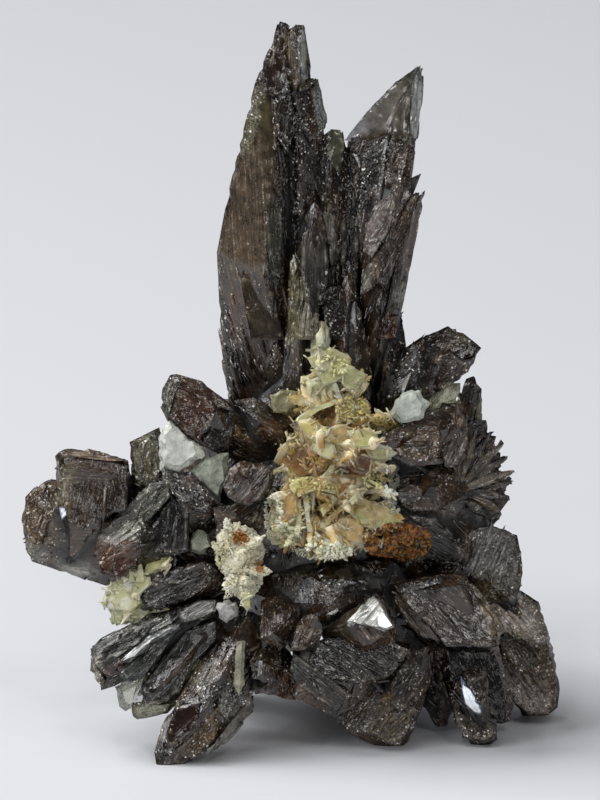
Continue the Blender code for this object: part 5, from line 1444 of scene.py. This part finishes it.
def prisms(foot, tip, half_width, thickness, twist, shoulder, chisel):
    """Ring k is foot + share[k] * (tip - foot) + size[k] * (cos * side * width + sin * face * depth).

    thickness is the depth over the width, shoulder is the share at which the tip begins, and chisel is
    how wide the tip still is.
    """
    run = tip - foot
    along = unit(run)
    helper = np.where(np.abs(along[:, 2:]) < UPRIGHT, (0.0, 0.0, 1.0), (1.0, 0.0, 0.0))
    first = unit(np.cross(along, helper))
    second = np.cross(along, first)
    side = first * np.cos(twist)[:, None] + second * np.sin(twist)[:, None]
    face = np.cross(along, side)
    rings = []
    for share, wide, deep in ((0.0, FOOT_SIZE, FOOT_SIZE), (shoulder, 1.0, 1.0), (1.0, chisel, TIP_DEPTH)):
        centre = foot + run * np.broadcast_to(share, len(foot))[:, None]
        width = (half_width * wide)[:, None, None] * HEXAGON[None, :, :1] * side[:, None]
        depth = (half_width * thickness * deep)[:, None, None] * HEXAGON[None, :, 1:] * face[:, None]
        rings.append(centre[:, None] + width + depth)
    corners = np.concatenate(rings, axis=1)
    numbers = PRISM_FACES[None] + PRISM_POINTS * np.arange(len(foot))[:, None, None]
    return corners.reshape(-1, 3), numbers.reshape(-1, 3)


def scatter(node_name, count, seed):
    """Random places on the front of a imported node, with their normals: more where triangles are larger."""
    draw = np.random.default_rng(seed)
    node_points, node_faces = node_triangles(node_name)
    a, b, c = (node_points[node_faces[:, k]] for k in range(3))
    normals = np.cross(b - a, c - a)
    sizes = np.linalg.norm(normals, axis=1)
    area = sizes * (normals[:, 1] < FACES_BACK * sizes)
    chosen = draw.choice(len(node_faces), size=count, p=area / area.sum())
    one, two = draw.random(count), draw.random(count)
    over = one + two > 1
    one, two = np.where(over, 1 - one, one)[:, None], np.where(over, 1 - two, two)[:, None]
    return a[chosen] + one * (b - a)[chosen] + two * (c - a)[chosen], unit(normals[chosen]), draw


YELLOW = "ecd68a"
HONEY = "ae741f"
RUST = "8a4812"
OLIVE = "9c9257"
# Painted shade: the near-black brown that darkens the hollows between the quartz crystals
PAINTED_HOLLOW_SHADE = "3c2312"
# %% [markdown]
# ## Colour of the quartz
#
# Water that carried iron ran between the needles and left its yellow and rust at their roots. So the
# colour of a point depends on how deep it lies in its needle, on patches of noise, and on a few listed
# stains. The darkest of these are painted shade in the hollows between the crystals.

# %% Colour of the quartz
# Iron stains on the quartz, and painted shade in the hollows between its crystals: across, up, half
# sizes, colour and strength
STAINS_AND_PAINTED_SHADE = (
    (1.6, 28.0, 1.7, 1.9, HONEY, 0.95), (2.6, 26.6, 1.0, 1.4, RUST, 0.7),
    (6.8, 26.8, 1.3, 0.9, RUST, 0.75), (3.6, 32.3, 0.9, 0.8, RUST, 0.8),
    (4.6, 33.0, 1.4, 0.8, HONEY, 0.8), (-0.6, 33.0, 1.5, 1.2, OLIVE, 0.8),
    (0.2, 29.4, 1.2, 1.4, OLIVE, 0.6), (4.2, 24.8, 1.0, 0.8, HONEY, 0.7),
    (5.6, 30.4, 1.6, 0.9, HONEY, 0.5), (8.9, 22.0, 1.8, 1.0, OLIVE, 0.5),
    (-5.0, 19.9, 0.9, 0.75, "b5761f", 2.0), (-3.0, 17.0, 0.55, 0.6, "a8702c", 1.6),
    (-6.8, 17.6, 0.6, 1.2, OLIVE, 0.4), (-13.0, 16.2, 1.6, 0.9, OLIVE, 0.4),
    # Painted shade: the entries in the hollow brown darken the gaps between crystals, where shade falls.
    (3.4, 38.6, 3.0, 4.0, "c9cdb4", 0.95), (5.2, 26.7, 0.9, 0.8, PAINTED_HOLLOW_SHADE, 0.97),
    (8.4, 25.6, 0.7, 0.6, PAINTED_HOLLOW_SHADE, 0.95), (7.6, 24.5, 0.9, 0.7, PAINTED_HOLLOW_SHADE, 0.95),
    (1.0, 24.0, 1.0, 0.5, PAINTED_HOLLOW_SHADE, 0.9), (2.6, 23.0, 0.5, 1.0, PAINTED_HOLLOW_SHADE, 0.9),
    (3.6, 31.6, 1.1, 1.2, PAINTED_HOLLOW_SHADE, 0.8), (0.3, 30.8, 0.7, 0.9, PAINTED_HOLLOW_SHADE, 0.8),
    (9.4, 26.6, 0.8, 0.5, PAINTED_HOLLOW_SHADE, 0.9), (3.2, 35.0, 2.4, 1.4, "a5a67c", 0.9),
)


PATCH_CELL = 1.8 * MM
PATCH_RANGE = (0.35, 0.75)
LEAST_YELLOW = 0.25
ROOT_HONEY = (0.15, 0.75)
MARK_CELL = 0.7 * MM
MARK_RAGGED = 0.8
MARK_FADE = (0.5, 1.2)
MARK_AT_TIP = 0.45
MOST_WHITE = 0.95


def quartz_tint(places, depth_share, cream_code, honey_share, seed):
    """Cream and yellow in patches, turned to honey towards the roots by depth_share, then the iron stains,
    and the painted shade in the hollows.
    """
    across, up = drawn(places)
    cream, yellow, honey = rgb(cream_code), rgb(YELLOW), rgb(HONEY)
    patch = smoothstep(noise(places, PATCH_CELL, seed), *PATCH_RANGE)[:, None]
    colour = cream + (yellow - cream) * patch * (LEAST_YELLOW + (1 - LEAST_YELLOW) * honey_share)
    rooted = honey_share * depth_share[:, None] * (ROOT_HONEY[0] + ROOT_HONEY[1] * patch)
    colour += (honey - colour) * rooted
    ragged = (noise(places, MARK_CELL, seed + 1) - 0.5) * MARK_RAGGED
    for x, y, half_x, half_y, code, strength in STAINS_AND_PAINTED_SHADE:
        out = np.hypot((across - x) / half_x, (up - y) / half_y) + ragged
        weight = strength * (1 - smoothstep(out, *MARK_FADE))
        weight = np.minimum(weight * (MARK_AT_TIP + (1 - MARK_AT_TIP) * depth_share), 1)
        colour += (rgb(code) - colour) * weight[:, None]
    return colour


def paint_stain(piece, colour):
    """The colour that the quartz's materials read, kept below pure white."""
    paint(piece, "stain", np.minimum(colour, MOST_WHITE))


# For each crust: its node, its palest colour, how honey-coloured it is, how many fine needles and wedges,
# and their half widths and lengths in mm
CRUSTS = (
    ("quartz_spray_main", "fff6d2", 1.0, 560, (0.08, 0.24), (0.8, 2.2), 60, (0.3, 0.6), (1.2, 2.6)),
    ("quartz_spray_small", "fffae2", 0.02, 1500, (0.09, 0.2), (0.15, 0.45), 20, (0.2, 0.3), (0.4, 0.8)),
    ("quartz_spray_left", "fffbe0", 0.02, 200, (0.1, 0.22), (0.5, 1.4), 40, (0.25, 0.5), (0.9, 1.8)),
)
CRUST_SEED, SLAB_SEED, SLAB_TONE_SEED, SUGAR_SEED, CHIP_TINT_SEED = 300, 400, 410, 430, 440
CRUST_SEED_STEP, TINT_SEED_STEP = 7, 50
FAN_CELL = 2.2 * MM
# How strongly a needle follows its neighbours, the crust's outer side and chance
PULLS = (1.1, 0.4, 0.55)
SUNK_SHARES = (0.45, 0.7)
WEDGE_FLATNESS, NEEDLE_FLATNESS = (0.3, 0.55), (0.4, 0.9)
WEDGE_CHISEL, NEEDLE_CHISEL = (0.3, 0.9), (0.15, 0.7)
SHOULDERS = (0.74, 0.92)
# How honey-stained the three rings of a needle are, from its foot to its tip
RING_DEPTHS = (1.0, 0.25, 0.0)
NEEDLE_SHADES = (0.8, 1.12)
SLAB_THICKNESS = 1.5
SLAB_EDGE = 0.26 * MM
SLAB_CELLS = ((0.55 * MM, 0.2 * MM), (0.22 * MM, 0.07 * MM))
# Painted highlight along the rims of the larger quartz crystals: how strong, how far in mm, and its tone
SLAB_RIM_HIGHLIGHT = 0.75
SLAB_HIGHLIGHT_REACH = (0.08, 0.32)
SLAB_HIGHLIGHT_TONE = 0.92
SLAB_TONE_CELL = 0.9 * MM
SLAB_TONES = (0.65, 0.7)
SLAB_GAIN = np.array([2.05, 1.86, 1.3])
SUGAR_GAIN = np.array([1.8, 1.66, 1.3])
SUGAR_SIZES = ((0.18, 0.6), (0.08, 0.28))
SUGAR_SHADES = (0.8, 1.1)
CHIPS = 900
CHIP_SIZES = ((0.4, 1.5), (0.12, 0.32))
CHIP_SHADES = (0.75, 1.3)
MAIN_CHIP, SIDE_CHIP = "f0e9c6", "e2e4bd"
MAIN_CHIP_DEPTH = 0.3
SIDE_CHIP_HONEY = 0.1
MAIN_FROM = -3
COVER = 0.75
BARE_TOP = 34.5
# %% [markdown]
# ## The larger quartz crystals
#
# Needles strewn by chance alone look like moss. What the eye finds first in a crust are a few dozen
# larger crystals, each in its own direction. So these are drawn as outlines from the picture, and only
# the finest grains, like sugar, are left to chance, in ovals along the edges.

# %% Larger quartz crystals
# The larger quartz crystals, as the blades are drawn: outline, turn, tilt, step and colour
SLABS = (
    ("upright plate at the top", ((21, 376), (21, 399), (24, 408), (30, 414), (35, 413), (39, 406),
     (40, 394), (38, 376)), 0, -5, 0.6, "c6cbb4"),
    ("mass below it", ((17, 377), (26, 382), (40, 387), (59, 379), (61, 366), (50, 354), (34, 350),
     (24, 365)), 5, 10, 0.5, "a9ae8d"),
    ("rounded plate on the right", ((51, 364), (57, 369), (67, 366), (76, 360), (77, 353), (72, 346),
     (65, 343), (57, 345), (51, 352)), 20, 0, 0.9, "a7ad95"),
    ("olive block on the left", ((-18, 337), (-10, 345), (10, 343), (14, 329), (8, 320), (-2, 315),
     (-15, 322)), -20, 0, 0.4, "6e6a45"),
    ("long lath", ((5, 313), (8, 319), (26, 329), (51, 338), (74, 350), (75, 347), (52, 333), (28, 324),
     (10, 312)), 0, 10, 1.2, "d0c9a0"),
    ("white lath", ((41, 351), (46, 353), (53, 336), (48, 334)), 10, 0, 1.4, "e0ddd0"),
    ("olive sugary block", ((46, 336), (68, 339), (78, 333), (81, 319), (64, 312), (46, 313)), 15, 10,
     0.4, "918a5c"),
    ("arm to the right", ((80, 318), (100, 322), (110, 318), (114, 310), (100, 306), (86, 301)), 15, 0,
     0.3, "948756"),
    ("cream crystals in the middle", ((8, 313), (20, 317), (36, 308), (45, 297), (34, 288), (18, 296),
     (7, 302)), -10, 10, 0.7, "b6b087"),
    ("peach crystal in the middle", ((38, 308), (56, 312), (65, 298), (60, 284), (46, 286), (37, 296)), 0,
     5, 0.5, "b7a684"),
    ("cream crystal on the right", ((58, 304), (80, 308), (89, 297), (80, 288), (63, 288)), 15, 10, 0.7,
     "cdc69f"),
    ("wedge that points right", ((72, 290), (84, 294), (98, 288), (106, 282), (96, 274), (80, 276)), 10,
     0, 0.9, "e8e1bb"),
    ("rounded white crystal", ((22, 292), (30, 296), (42, 292), (47, 284), (40, 276), (30, 280),
     (22, 286)), -8, 8, 1.2, "d0d0ac"),
    ("honey block", ((-13, 286), (0, 292), (18, 288), (38, 273), (36, 264), (26, 264), (10, 258),
     (-7, 272)), -12, 0, 0.1, "6f5226"),
    ("its left rim", ((-3, 272), (2, 278), (7, 286), (9, 277), (6, 254), (1, 254)), -20, 0, 1.0,
     "c2ab6a"),
    ("its lower rim", ((16, 278), (26, 280), (39, 272), (34, 268), (22, 273)), 0, 10, 0.9, "c99b52"),
    ("brown rounded crystal", ((62, 272), (68, 280), (78, 280), (83, 271), (80, 264), (72, 261),
     (64, 264)), 5, 5, 1.0, "5e4637"),
    ("cream band", ((-1, 249), (6, 259), (26, 260), (40, 262), (53, 249), (46, 242), (26, 246), (8, 238)),
     0, 12, 0.8, "bfb98b"),
    ("pale teeth above it", ((31, 258), (40, 270), (47, 274), (44, 264), (40, 258)), 10, 0, 1.0,
     "cec8a0"),
    ("honey block below", ((47, 251), (60, 253), (56, 237), (48, 237)), 0, 0, 0.3, "8f6635"),
    ("lath on the right", ((58, 235), (72, 249), (77, 246), (62, 231)), 0, 10, 1.1, "d9cfa9"),
    ("second lath on the right", ((70, 215), (100, 238), (99, 233), (73, 210)), 5, 15, 1.4, "cfc7a3"),
    ("third lath on the right", ((64, 226), (88, 244), (89, 239), (68, 221)), 5, 10, 1.1, "c1b58c"),
    ("large peach wedge", ((54, 232), (72, 239), (98, 229), (114, 213), (108, 209), (80, 208), (66, 212)),
     8, 5, 0.7, "c4b597"),
    ("peach block", ((36, 209), (46, 216), (64, 218), (73, 209), (71, 194), (54, 192), (40, 194)), -5, 0,
     0.7, "b5a384"),
    ("white column", ((13, 243), (18, 244), (20, 218), (23, 204), (18, 204), (14, 224)), -10, 0, 1.2,
     "e2dec4"),
    ("second white column", ((20, 244), (25, 245), (25, 232), (22, 220)), 10, 0, 1.0, "d8d2b4"),
    ("third white column", ((6, 236), (11, 237), (12, 214), (9, 198), (5, 202)), -14, 0, 1.0, "d2cba8"),
    ("slanting lath", ((30, 226), (44, 240), (48, 238), (33, 219)), 0, 6, 1.0, "ccbd90"),
    ("second slanting lath", ((34, 216), (52, 232), (55, 229), (38, 210)), 0, 6, 1.0, "bfa97b"),
    ("tan side on the left", ((-13, 239), (0, 245), (8, 237), (8, 220), (-7, 216), (-13, 227)), -15, 0,
     0.4, "a18a62"),
    ("white plates at the foot", ((18, 194), (28, 202), (40, 196), (46, 191), (64, 194), (60, 180),
     (44, 177), (28, 179)), 0, -10, 0.7, "cacfb3"),
    ("long crystal at the foot", ((65, 198), (80, 202), (92, 195), (84, 186), (67, 188)), 10, -5, 0.8,
     "d2cdb3"),
    ("stem of the small crust", ((-49, 144), (-40, 144), (-39, 128), (-43, 125), (-46, 130)), 0, -8, 0.4,
     "dcdcb2"),
    ("tooth on the left crust", ((-161, 154), (-160, 166), (-156, 169), (-154, 154)), 0, 0, 0.4,
     "cdcfae"),
    ("second tooth", ((-153, 154), (-151, 172), (-149, 174), (-146, 170), (-145, 154)), 5, 0, 0.5,
     "d3d4b4"),
    ("olive arm of the left crust", ((-145, 175), (-121, 182), (-115, 177), (-138, 163), (-144, 160)), 0,
     15, 0.4, "a2a67e"),
    ("rounded end on the left", ((-176, 152), (-171, 158), (-164, 156), (-163, 148), (-172, 146)), -10, 5,
     0.6, "d5d6b6"),
    ("pale mass of the left crust", ((-183, 148), (-162, 156), (-139, 159), (-138, 152), (-148, 142),
     (-151, 130), (-158, 124), (-175, 126), (-187, 129), (-185, 140)), -12, 5, 0.3, "dedec0"),
    ("ledge below it", ((-178, 125), (-152, 128), (-138, 124), (-119, 127), (-138, 119), (-164, 112),
     (-178, 112)), -5, -15, 0.3, "d2d3b2"),
)
slab_rows = in_mm(SLABS)
# Grains like sugar along the edges: across, up, half sizes, how many and their colour
SUGAR = (
    (10.2, 25.0, 0.7, 2.4, 260, "e8e6d6"), (8.6, 25.6, 1.4, 0.9, 110, "d2c9a5"),
    (-1.6, 22.0, 0.9, 2.8, 300, "deddc8"), (-0.4, 20.0, 1.5, 1.2, 220, "d7d7bc"),
    (3.6, 18.5, 3.0, 0.9, 240, "d6dac8"), (6.2, 32.6, 1.8, 1.3, 150, "aba478"),
    (4.2, 36.9, 1.6, 1.2, 60, "b9bd9c"), (9.4, 31.3, 1.6, 0.6, 100, "a39a68"),
    (2.4, 25.2, 2.4, 0.6, 40, "c5bf92"),
)


# %% [markdown]
# ## Growing the crusts
#
# Needles that grow close together push each other into line, so neighbours lie side by side. Here each
# one follows a smooth field of directions, the way out of the crust, and chance, each in its own measure.
# Where a larger crystal is drawn there are fewer of them, so that it isn't buried.

# %% Crusts
def covered(across, up, outline):
    """Whether points lie inside an outline: a ray to the right crosses its sides an odd number of times."""
    inside = np.zeros(len(across), dtype=bool)
    for (x, y), (after_x, after_y) in zip(outline, np.roll(outline, -1, axis=0)):
        level = (y > up) != (after_y > up)
        inside ^= level & (across < x + (up - y) * (after_x - x) / (after_y - y + TINY))
    return inside


def crust(node_name, cream_code, honey_share, count, widths, lengths,
          wedge_count, wedge_widths, wedge_lengths, seed):
    """Fine needles and broader wedges all over a crust, half sunk in it, but fewer where a slab is drawn.

    Each points along field + out + chance, where the field is smooth noise, so that neighbours lie side
    by side like the ribs of a fan.
    """
    place, out, draw = scatter(node_name, count + wedge_count, seed)
    wedge = np.arange(len(place)) >= count
    across, up = drawn(place)
    hidden = sum(covered(across, up, outline) for _, outline, *_ in slab_rows) + (up > BARE_TOP) > 0
    kept = draw.random(len(place)) > COVER * hidden
    place, out, wedge = place[kept], out[kept], wedge[kept]
    total = len(place)
    half_width = np.where(wedge, draw.uniform(*wedge_widths, total), draw.uniform(*widths, total)) * MM
    length = np.where(wedge, draw.uniform(*wedge_lengths, total), draw.uniform(*lengths, total)) * MM
    field = unit(np.stack([noise(place, FAN_CELL, seed + k) - 0.5 for k in range(3)], axis=1))
    way = unit(field * PULLS[0] + out * PULLS[1] + unit(draw.normal(size=(total, 3))) * PULLS[2])
    foot = place - way * (length * draw.uniform(*SUNK_SHARES, total))[:, None]
    tip = foot + way * length[:, None]
    thickness = np.where(wedge, draw.uniform(*WEDGE_FLATNESS, total), draw.uniform(*NEEDLE_FLATNESS, total))
    chisel = np.where(wedge, draw.uniform(*WEDGE_CHISEL, total), draw.uniform(*NEEDLE_CHISEL, total))
    corners, numbers = prisms(foot, tip, half_width, thickness, draw.uniform(0, math.tau, total),
                              draw.uniform(*SHOULDERS, total), chisel)
    corners = np.clip(corners, box_low, box_high)
    depth_share = np.tile(np.repeat(RING_DEPTHS, 6), total)
    colour = quartz_tint(corners, depth_share, cream_code, honey_share, seed + TINT_SEED_STEP)
    colour *= np.repeat(draw.uniform(*NEEDLE_SHADES, (total, 1)), PRISM_POINTS, axis=0)
    made = piece_from(node_name.replace("spray", "needles"), corners, numbers)
    paint_stain(made, colour)
    return made


GRAIN_SINK = (-0.1, 0.2)
IN_PLANE = 0.8
MANY_THIN = 1.3
GRAIN_FLATNESS, GRAIN_SHOULDERS, GRAIN_CHISEL = (0.5, 1.0), (0.5, 0.8), (0.2, 0.7)


def strewn(tree, x, y, half_x, half_y, count, draw):
    """Random places in an oval of the picture plane, brought to where the camera's rays meet a tree."""
    landed = []
    while len(landed) < count:
        angle, out = draw.uniform(0, math.tau), math.sqrt(draw.random())
        spot = (x + half_x * out * math.cos(angle), y + half_y * out * math.sin(angle))
        near = nearness(tree, *spot)
        if near is not None:
            landed.append(on_ray(*spot, near + draw.uniform(*GRAIN_SINK)))
    return np.array(landed)


def grains(landed, lengths, half_widths, draw):
    """Short prisms about some places, mostly across the view, as points and triangles."""
    count = len(landed)
    way = draw.normal(size=(count, 3))
    way = unit(way - IN_PLANE * (way @ towards_camera)[:, None] * towards_camera)
    half = draw.uniform(*lengths, count)[:, None] * MM / 2 * way
    return prisms(landed - half, landed + half, draw.uniform(*half_widths, count) ** MANY_THIN * MM,
                  draw.uniform(*GRAIN_FLATNESS, count), draw.uniform(0, math.tau, count),
                  draw.uniform(*GRAIN_SHOULDERS, count), draw.uniform(*GRAIN_CHISEL, count))


base_shapes = [node_triangles(name) for name in ("axinite_cluster", *(row[0] for row in CRUSTS))]
base_points, base_faces, _ = joined(base_shapes)
base_tree = ray_tree(base_points, base_faces)
slab_shapes = [blade(base_tree, outline, turn, tilt, proud, SLAB_THICKNESS)
               for _, outline, turn, tilt, proud, _ in slab_rows]
slab_points, slab_faces, slab_of = halved(*joined(slab_shapes), lambda places: SLAB_EDGE)
slab_normals = point_normals(slab_points, slab_faces)
push = layered(slab_points, SLAB_CELLS, SLAB_SEED)
stain = np.zeros_like(slab_points)
for number, (_, outline, *_, code) in enumerate(slab_rows):
    own = np.unique(slab_faces[slab_of == number])
    seen_at = np.stack(drawn(slab_points[own]), axis=1)
    rim_gap = segment_distance(seen_at, outline, np.roll(outline, -1, axis=0))
    tone = SLAB_TONES[0] + SLAB_TONES[1] * noise(slab_points[own], SLAB_TONE_CELL, SLAB_TONE_SEED)
    colour = rgb(code) * SLAB_GAIN * tone[:, None]
    # Painted highlight: each slab is painted paler towards its outline, standing in for light caught on its
    # edges.
    edge = SLAB_RIM_HIGHLIGHT * (1 - smoothstep(rim_gap, *SLAB_HIGHLIGHT_REACH))[:, None]
    stain[own] = colour + (np.sqrt(colour) * SLAB_HIGHLIGHT_TONE - colour) * edge
slab_shape = np.clip(slab_points + slab_normals * push[:, None], box_low, box_high)
slabs = piece_from("quartz_plates_and_laths", slab_shape, slab_faces, sharp_angle=32)
paint_stain(slabs, stain)

top_tree = ray_tree(*joined([(base_points, base_faces), (slab_points, slab_faces)])[:2])
draw = np.random.default_rng(SUGAR_SEED)
heaps = [grains(strewn(top_tree, *zone, draw), *SUGAR_SIZES, draw) for *zone, _ in SUGAR]
sugar_points, sugar_faces, _ = joined(heaps)
sugar_tint = np.repeat([rgb(code) for *_, code in SUGAR], [len(corners) for corners, _ in heaps], axis=0)
sugar_shade = draw.uniform(*SUGAR_SHADES, (len(sugar_points) // PRISM_POINTS, 1))
sugar_tint *= SUGAR_GAIN * np.repeat(sugar_shade, PRISM_POINTS, axis=0)
sugar = piece_from("quartz_sugar", np.clip(sugar_points, box_low, box_high), sugar_faces)
paint_stain(sugar, sugar_tint)

# Chips: small laths on the slabs
chip_at = slab_shape[slab_faces[draw.choice(len(slab_faces), size=CHIPS, replace=False)]].mean(axis=1)
chip_points, chip_faces = grains(chip_at, *CHIP_SIZES, draw)
on_main = drawn(chip_points)[0] > MAIN_FROM
main_depth = np.full(len(chip_points), MAIN_CHIP_DEPTH)
main_tint = quartz_tint(chip_points, main_depth, MAIN_CHIP, 1.0, CHIP_TINT_SEED)
side_depth = np.zeros(len(chip_points))
side_tint = quartz_tint(chip_points, side_depth, SIDE_CHIP, SIDE_CHIP_HONEY, CHIP_TINT_SEED + 1)
chip_tint = np.where(on_main[:, None], main_tint, side_tint)
chip_tint *= np.repeat(draw.uniform(*CHIP_SHADES, (CHIPS, 1)), PRISM_POINTS, axis=0)
chips = piece_from("quartz_chips", np.clip(chip_points, box_low, box_high), chip_faces)
paint_stain(chips, chip_tint)

# %% [markdown]
# ## The quartz's surface
#
# Quartz bends light less than axinite, with an index of 1.544, and it is clear where it grew slowly and
# cloudy where it grew fast. One function makes all its finishes. They differ in how much light goes
# through, in how rough they are, and in how much the clear crystal darkens with depth.

# %% Quartz materials
QUARTZ_IOR = 1.544
CLOUD_SIZE = 0.7 * MM
CLOUD_TONE = (0.3, 0.7, 0.72, 1.12)
DULL_CLOUDS = (0.35, 0.65)
DULLER = 0.18
FROST_SIZE = 0.16 * MM
FROST_HEIGHT = 0.05 * MM
FROST_STRENGTH = 0.8
CLEAR_TINT = "d9dcc4"


def quartz_material(name, transmission, roughness, density):
    """Glassy quartz: a tint with clouds in it, finely frosted, that lets a share of the light through."""
    material, tree, output = new_material(name)
    place = node(tree, "ShaderNodeTexCoord").outputs["Object"]
    cloud = cloudy(place, CLOUD_SIZE, 4.0, 0.7)
    frosted = bumped(cloudy(place, FROST_SIZE, 2.0), FROST_HEIGHT, FROST_STRENGTH)
    glossy(output, {"Base Color": scaled(read(tree, "stain", "Color"), ramp(cloud, *CLOUD_TONE)),
                    "Roughness": ramp(cloud, *DULL_CLOUDS, roughness, roughness + DULLER),
                    "IOR": QUARTZ_IOR, "Normal": frosted, "Transmission Weight": transmission})
    if density:
        inputs = {"Color": linear(CLEAR_TINT), "Density": density}
        absorption = node(tree, "ShaderNodeVolumeAbsorption", inputs)
        tree.links.new(absorption.outputs[0], output.inputs["Volume"])
    return material


needle_quartz = quartz_material("quartz_glassy_needles", 0.45, 0.08, 0.0)
sugary_quartz = quartz_material("quartz_sugary_grains", 0.15, 0.25, 0.0)
plate_quartz = quartz_material("quartz_glassy_plates", 0.5, 0.08, 0.0)
massive_quartz = quartz_material("quartz_massive_ground", 0.0, 0.3, 0.0)
milky_quartz = quartz_material("quartz_milky_block", 0.3, 0.2, 0.0)
clear_quartz = quartz_material("quartz_clear_crystal", 0.9, 0.05, 60.0)

for number, (node_name, *settings) in enumerate(CRUSTS):
    needles = crust(node_name, *settings, CRUST_SEED + number * CRUST_SEED_STEP)
    needles.data.materials.append(sugary_quartz if node_name == "quartz_spray_small" else needle_quartz)
    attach(needles, "root")
for piece, material in ((slabs, plate_quartz), (sugar, sugary_quartz), (chips, needle_quartz)):
    piece.data.materials.append(material)
    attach(piece, "root")

# %% [markdown]
# ## The ground of the crusts, and the single quartz pieces
#
# Under the needles each crust is a knobbly mass, and the pale blocks are single crystals with rounded,
# etched corners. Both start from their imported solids. The long edges are halved until the triangles
# are small, and then every point moves along its normal by a little noise.

# %% Etched solids
DRAWN_IN = 0.62
GROUND_EDGE = 0.42 * MM
GROUND_CELLS = ((0.9 * MM, 0.6 * MM), (0.35 * MM, 0.24 * MM))
GROUND_DEPTH_CELL = 0.8 * MM
GROUND_SEED, GROUND_DEPTH_SEED, GROUND_TINT_SEED, SINGLE_SEED, SINGLE_TONE_SEED = 70, 77, 80, 90, 95
SINGLE_EDGE = 0.3 * MM
# For the single crystals: the size of the noise, and how much of the etching's depth it has
SINGLE_CELLS = ((0.8 * MM, 1.4), (0.3 * MM, 0.5))
SINGLE_TONE_CELL = 1.1 * MM
SINGLE_TONES = (0.8, 0.4)


def etched(node_name, longest, cells, seed):
    """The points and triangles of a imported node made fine, drawn in a little, with noise of two sizes."""
    base_points, base_faces = node_triangles(node_name)
    fine_points, fine_faces, _ = halved(base_points, base_faces, np.arange(len(base_faces)),
                                        lambda places: longest)
    push = layered(fine_points, cells, seed, DRAWN_IN)
    pushed = fine_points + point_normals(fine_points, fine_faces) * push[:, None]
    return np.clip(pushed, box_low, box_high), fine_faces


for number, (node_name, cream_code, honey_share, *_) in enumerate(CRUSTS):
    shaped, fine_faces = etched(node_name, GROUND_EDGE, GROUND_CELLS, GROUND_SEED + number)
    ground = piece_from(node_name + "_ground", shaped, fine_faces, sharp_angle=35)
    depth_share = 0.3 + 0.7 * noise(shaped, GROUND_DEPTH_CELL, GROUND_DEPTH_SEED)
    stain = quartz_tint(shaped, depth_share, cream_code, honey_share, GROUND_TINT_SEED + number)
    paint(ground, "stain", stain)
    ground.data.materials.append(massive_quartz)
    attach(ground, "root")
    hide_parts(node_name)

# Node, colour, material and how deep its etching is
SINGLES = (
    ("pale_block_left", "f0f3e8", milky_quartz, 0.4),
    ("pale_block_left_low", "b9c0ae", milky_quartz, 0.4),
    ("pale_block_right", "e2e9dc", milky_quartz, 0.38),
    ("pale_block_centre", "a09c78", milky_quartz, 0.45),
    ("clear_block_right", "cfcdb0", clear_quartz, 0.25),
    ("pale_crystal_left", "8f9380", milky_quartz, 0.35),
    ("quartz_prism_low", "9f9c88", milky_quartz, 0.3), ("quartz_bit_low", "c9c5c2", milky_quartz, 0.6),
    ("quartz_bit_left", "e8e8de", clear_quartz, 0.3),
)
for number, (node_name, code, material, depth) in enumerate(SINGLES):
    cells = [(cell, depth * part * MM) for cell, part in SINGLE_CELLS]
    shaped, fine_faces = etched(node_name, SINGLE_EDGE, cells, SINGLE_SEED + number)
    single = piece_from(node_name + "_crystal", shaped, fine_faces, sharp_angle=30)
    tone = SINGLE_TONES[0] + SINGLE_TONES[1] * noise(shaped, SINGLE_TONE_CELL, SINGLE_TONE_SEED + number)
    paint(single, "stain", rgb(code) * tone[:, None])
    single.data.materials.append(material)
    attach(single, "root")
    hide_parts(node_name)

# %% [markdown]
# ## Iron crust
#
# Low on the right of the main crust of quartz a lump of iron oxide has settled. It is a heap of small
# rusty grains: short prisms in many directions, set where rays from the camera meet the specimen.

# %% Iron crust
IRON_CENTRE = (10.8, 19.4)
IRON_HALF = (3.3, 1.8)
IRON_GRAINS = 950
IRON_SIZES = ((0.15, 0.75), (0.06, 0.36))
IRON_PATCH = 0.9 * MM
IRON_SEED, IRON_PATCH_SEED = 61, 62
IRON_ROUGHNESS = 0.42
IRON_IOR = 1.6
IRON_COLOURS = ("96561a", "7a4415", "5a3312", "a8701f", "3c2413", "8f7a3a")

draw = np.random.default_rng(IRON_SEED)
landed = strewn(top_tree, *IRON_CENTRE, *IRON_HALF, IRON_GRAINS, draw)
corners, numbers = grains(landed, *IRON_SIZES, draw)
patch = np.floor(noise(landed, IRON_PATCH, IRON_PATCH_SEED) * len(IRON_COLOURS)).astype(int)
picked = np.where(draw.random(IRON_GRAINS) < 0.5, patch, draw.integers(len(IRON_COLOURS), size=IRON_GRAINS))
iron_tint = np.array([rgb(code) for code in IRON_COLOURS])[picked]
iron = piece_from("iron_crust", np.clip(corners, box_low, box_high), numbers)
paint(iron, "tint", np.repeat(iron_tint, PRISM_POINTS, axis=0))

rust, tree, output = new_material("iron_oxide_grains")
glossy(output, {"Base Color": read(tree, "tint", "Color"), "Roughness": IRON_ROUGHNESS, "IOR": IRON_IOR})
iron.data.materials.append(rust)
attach(iron, "root")
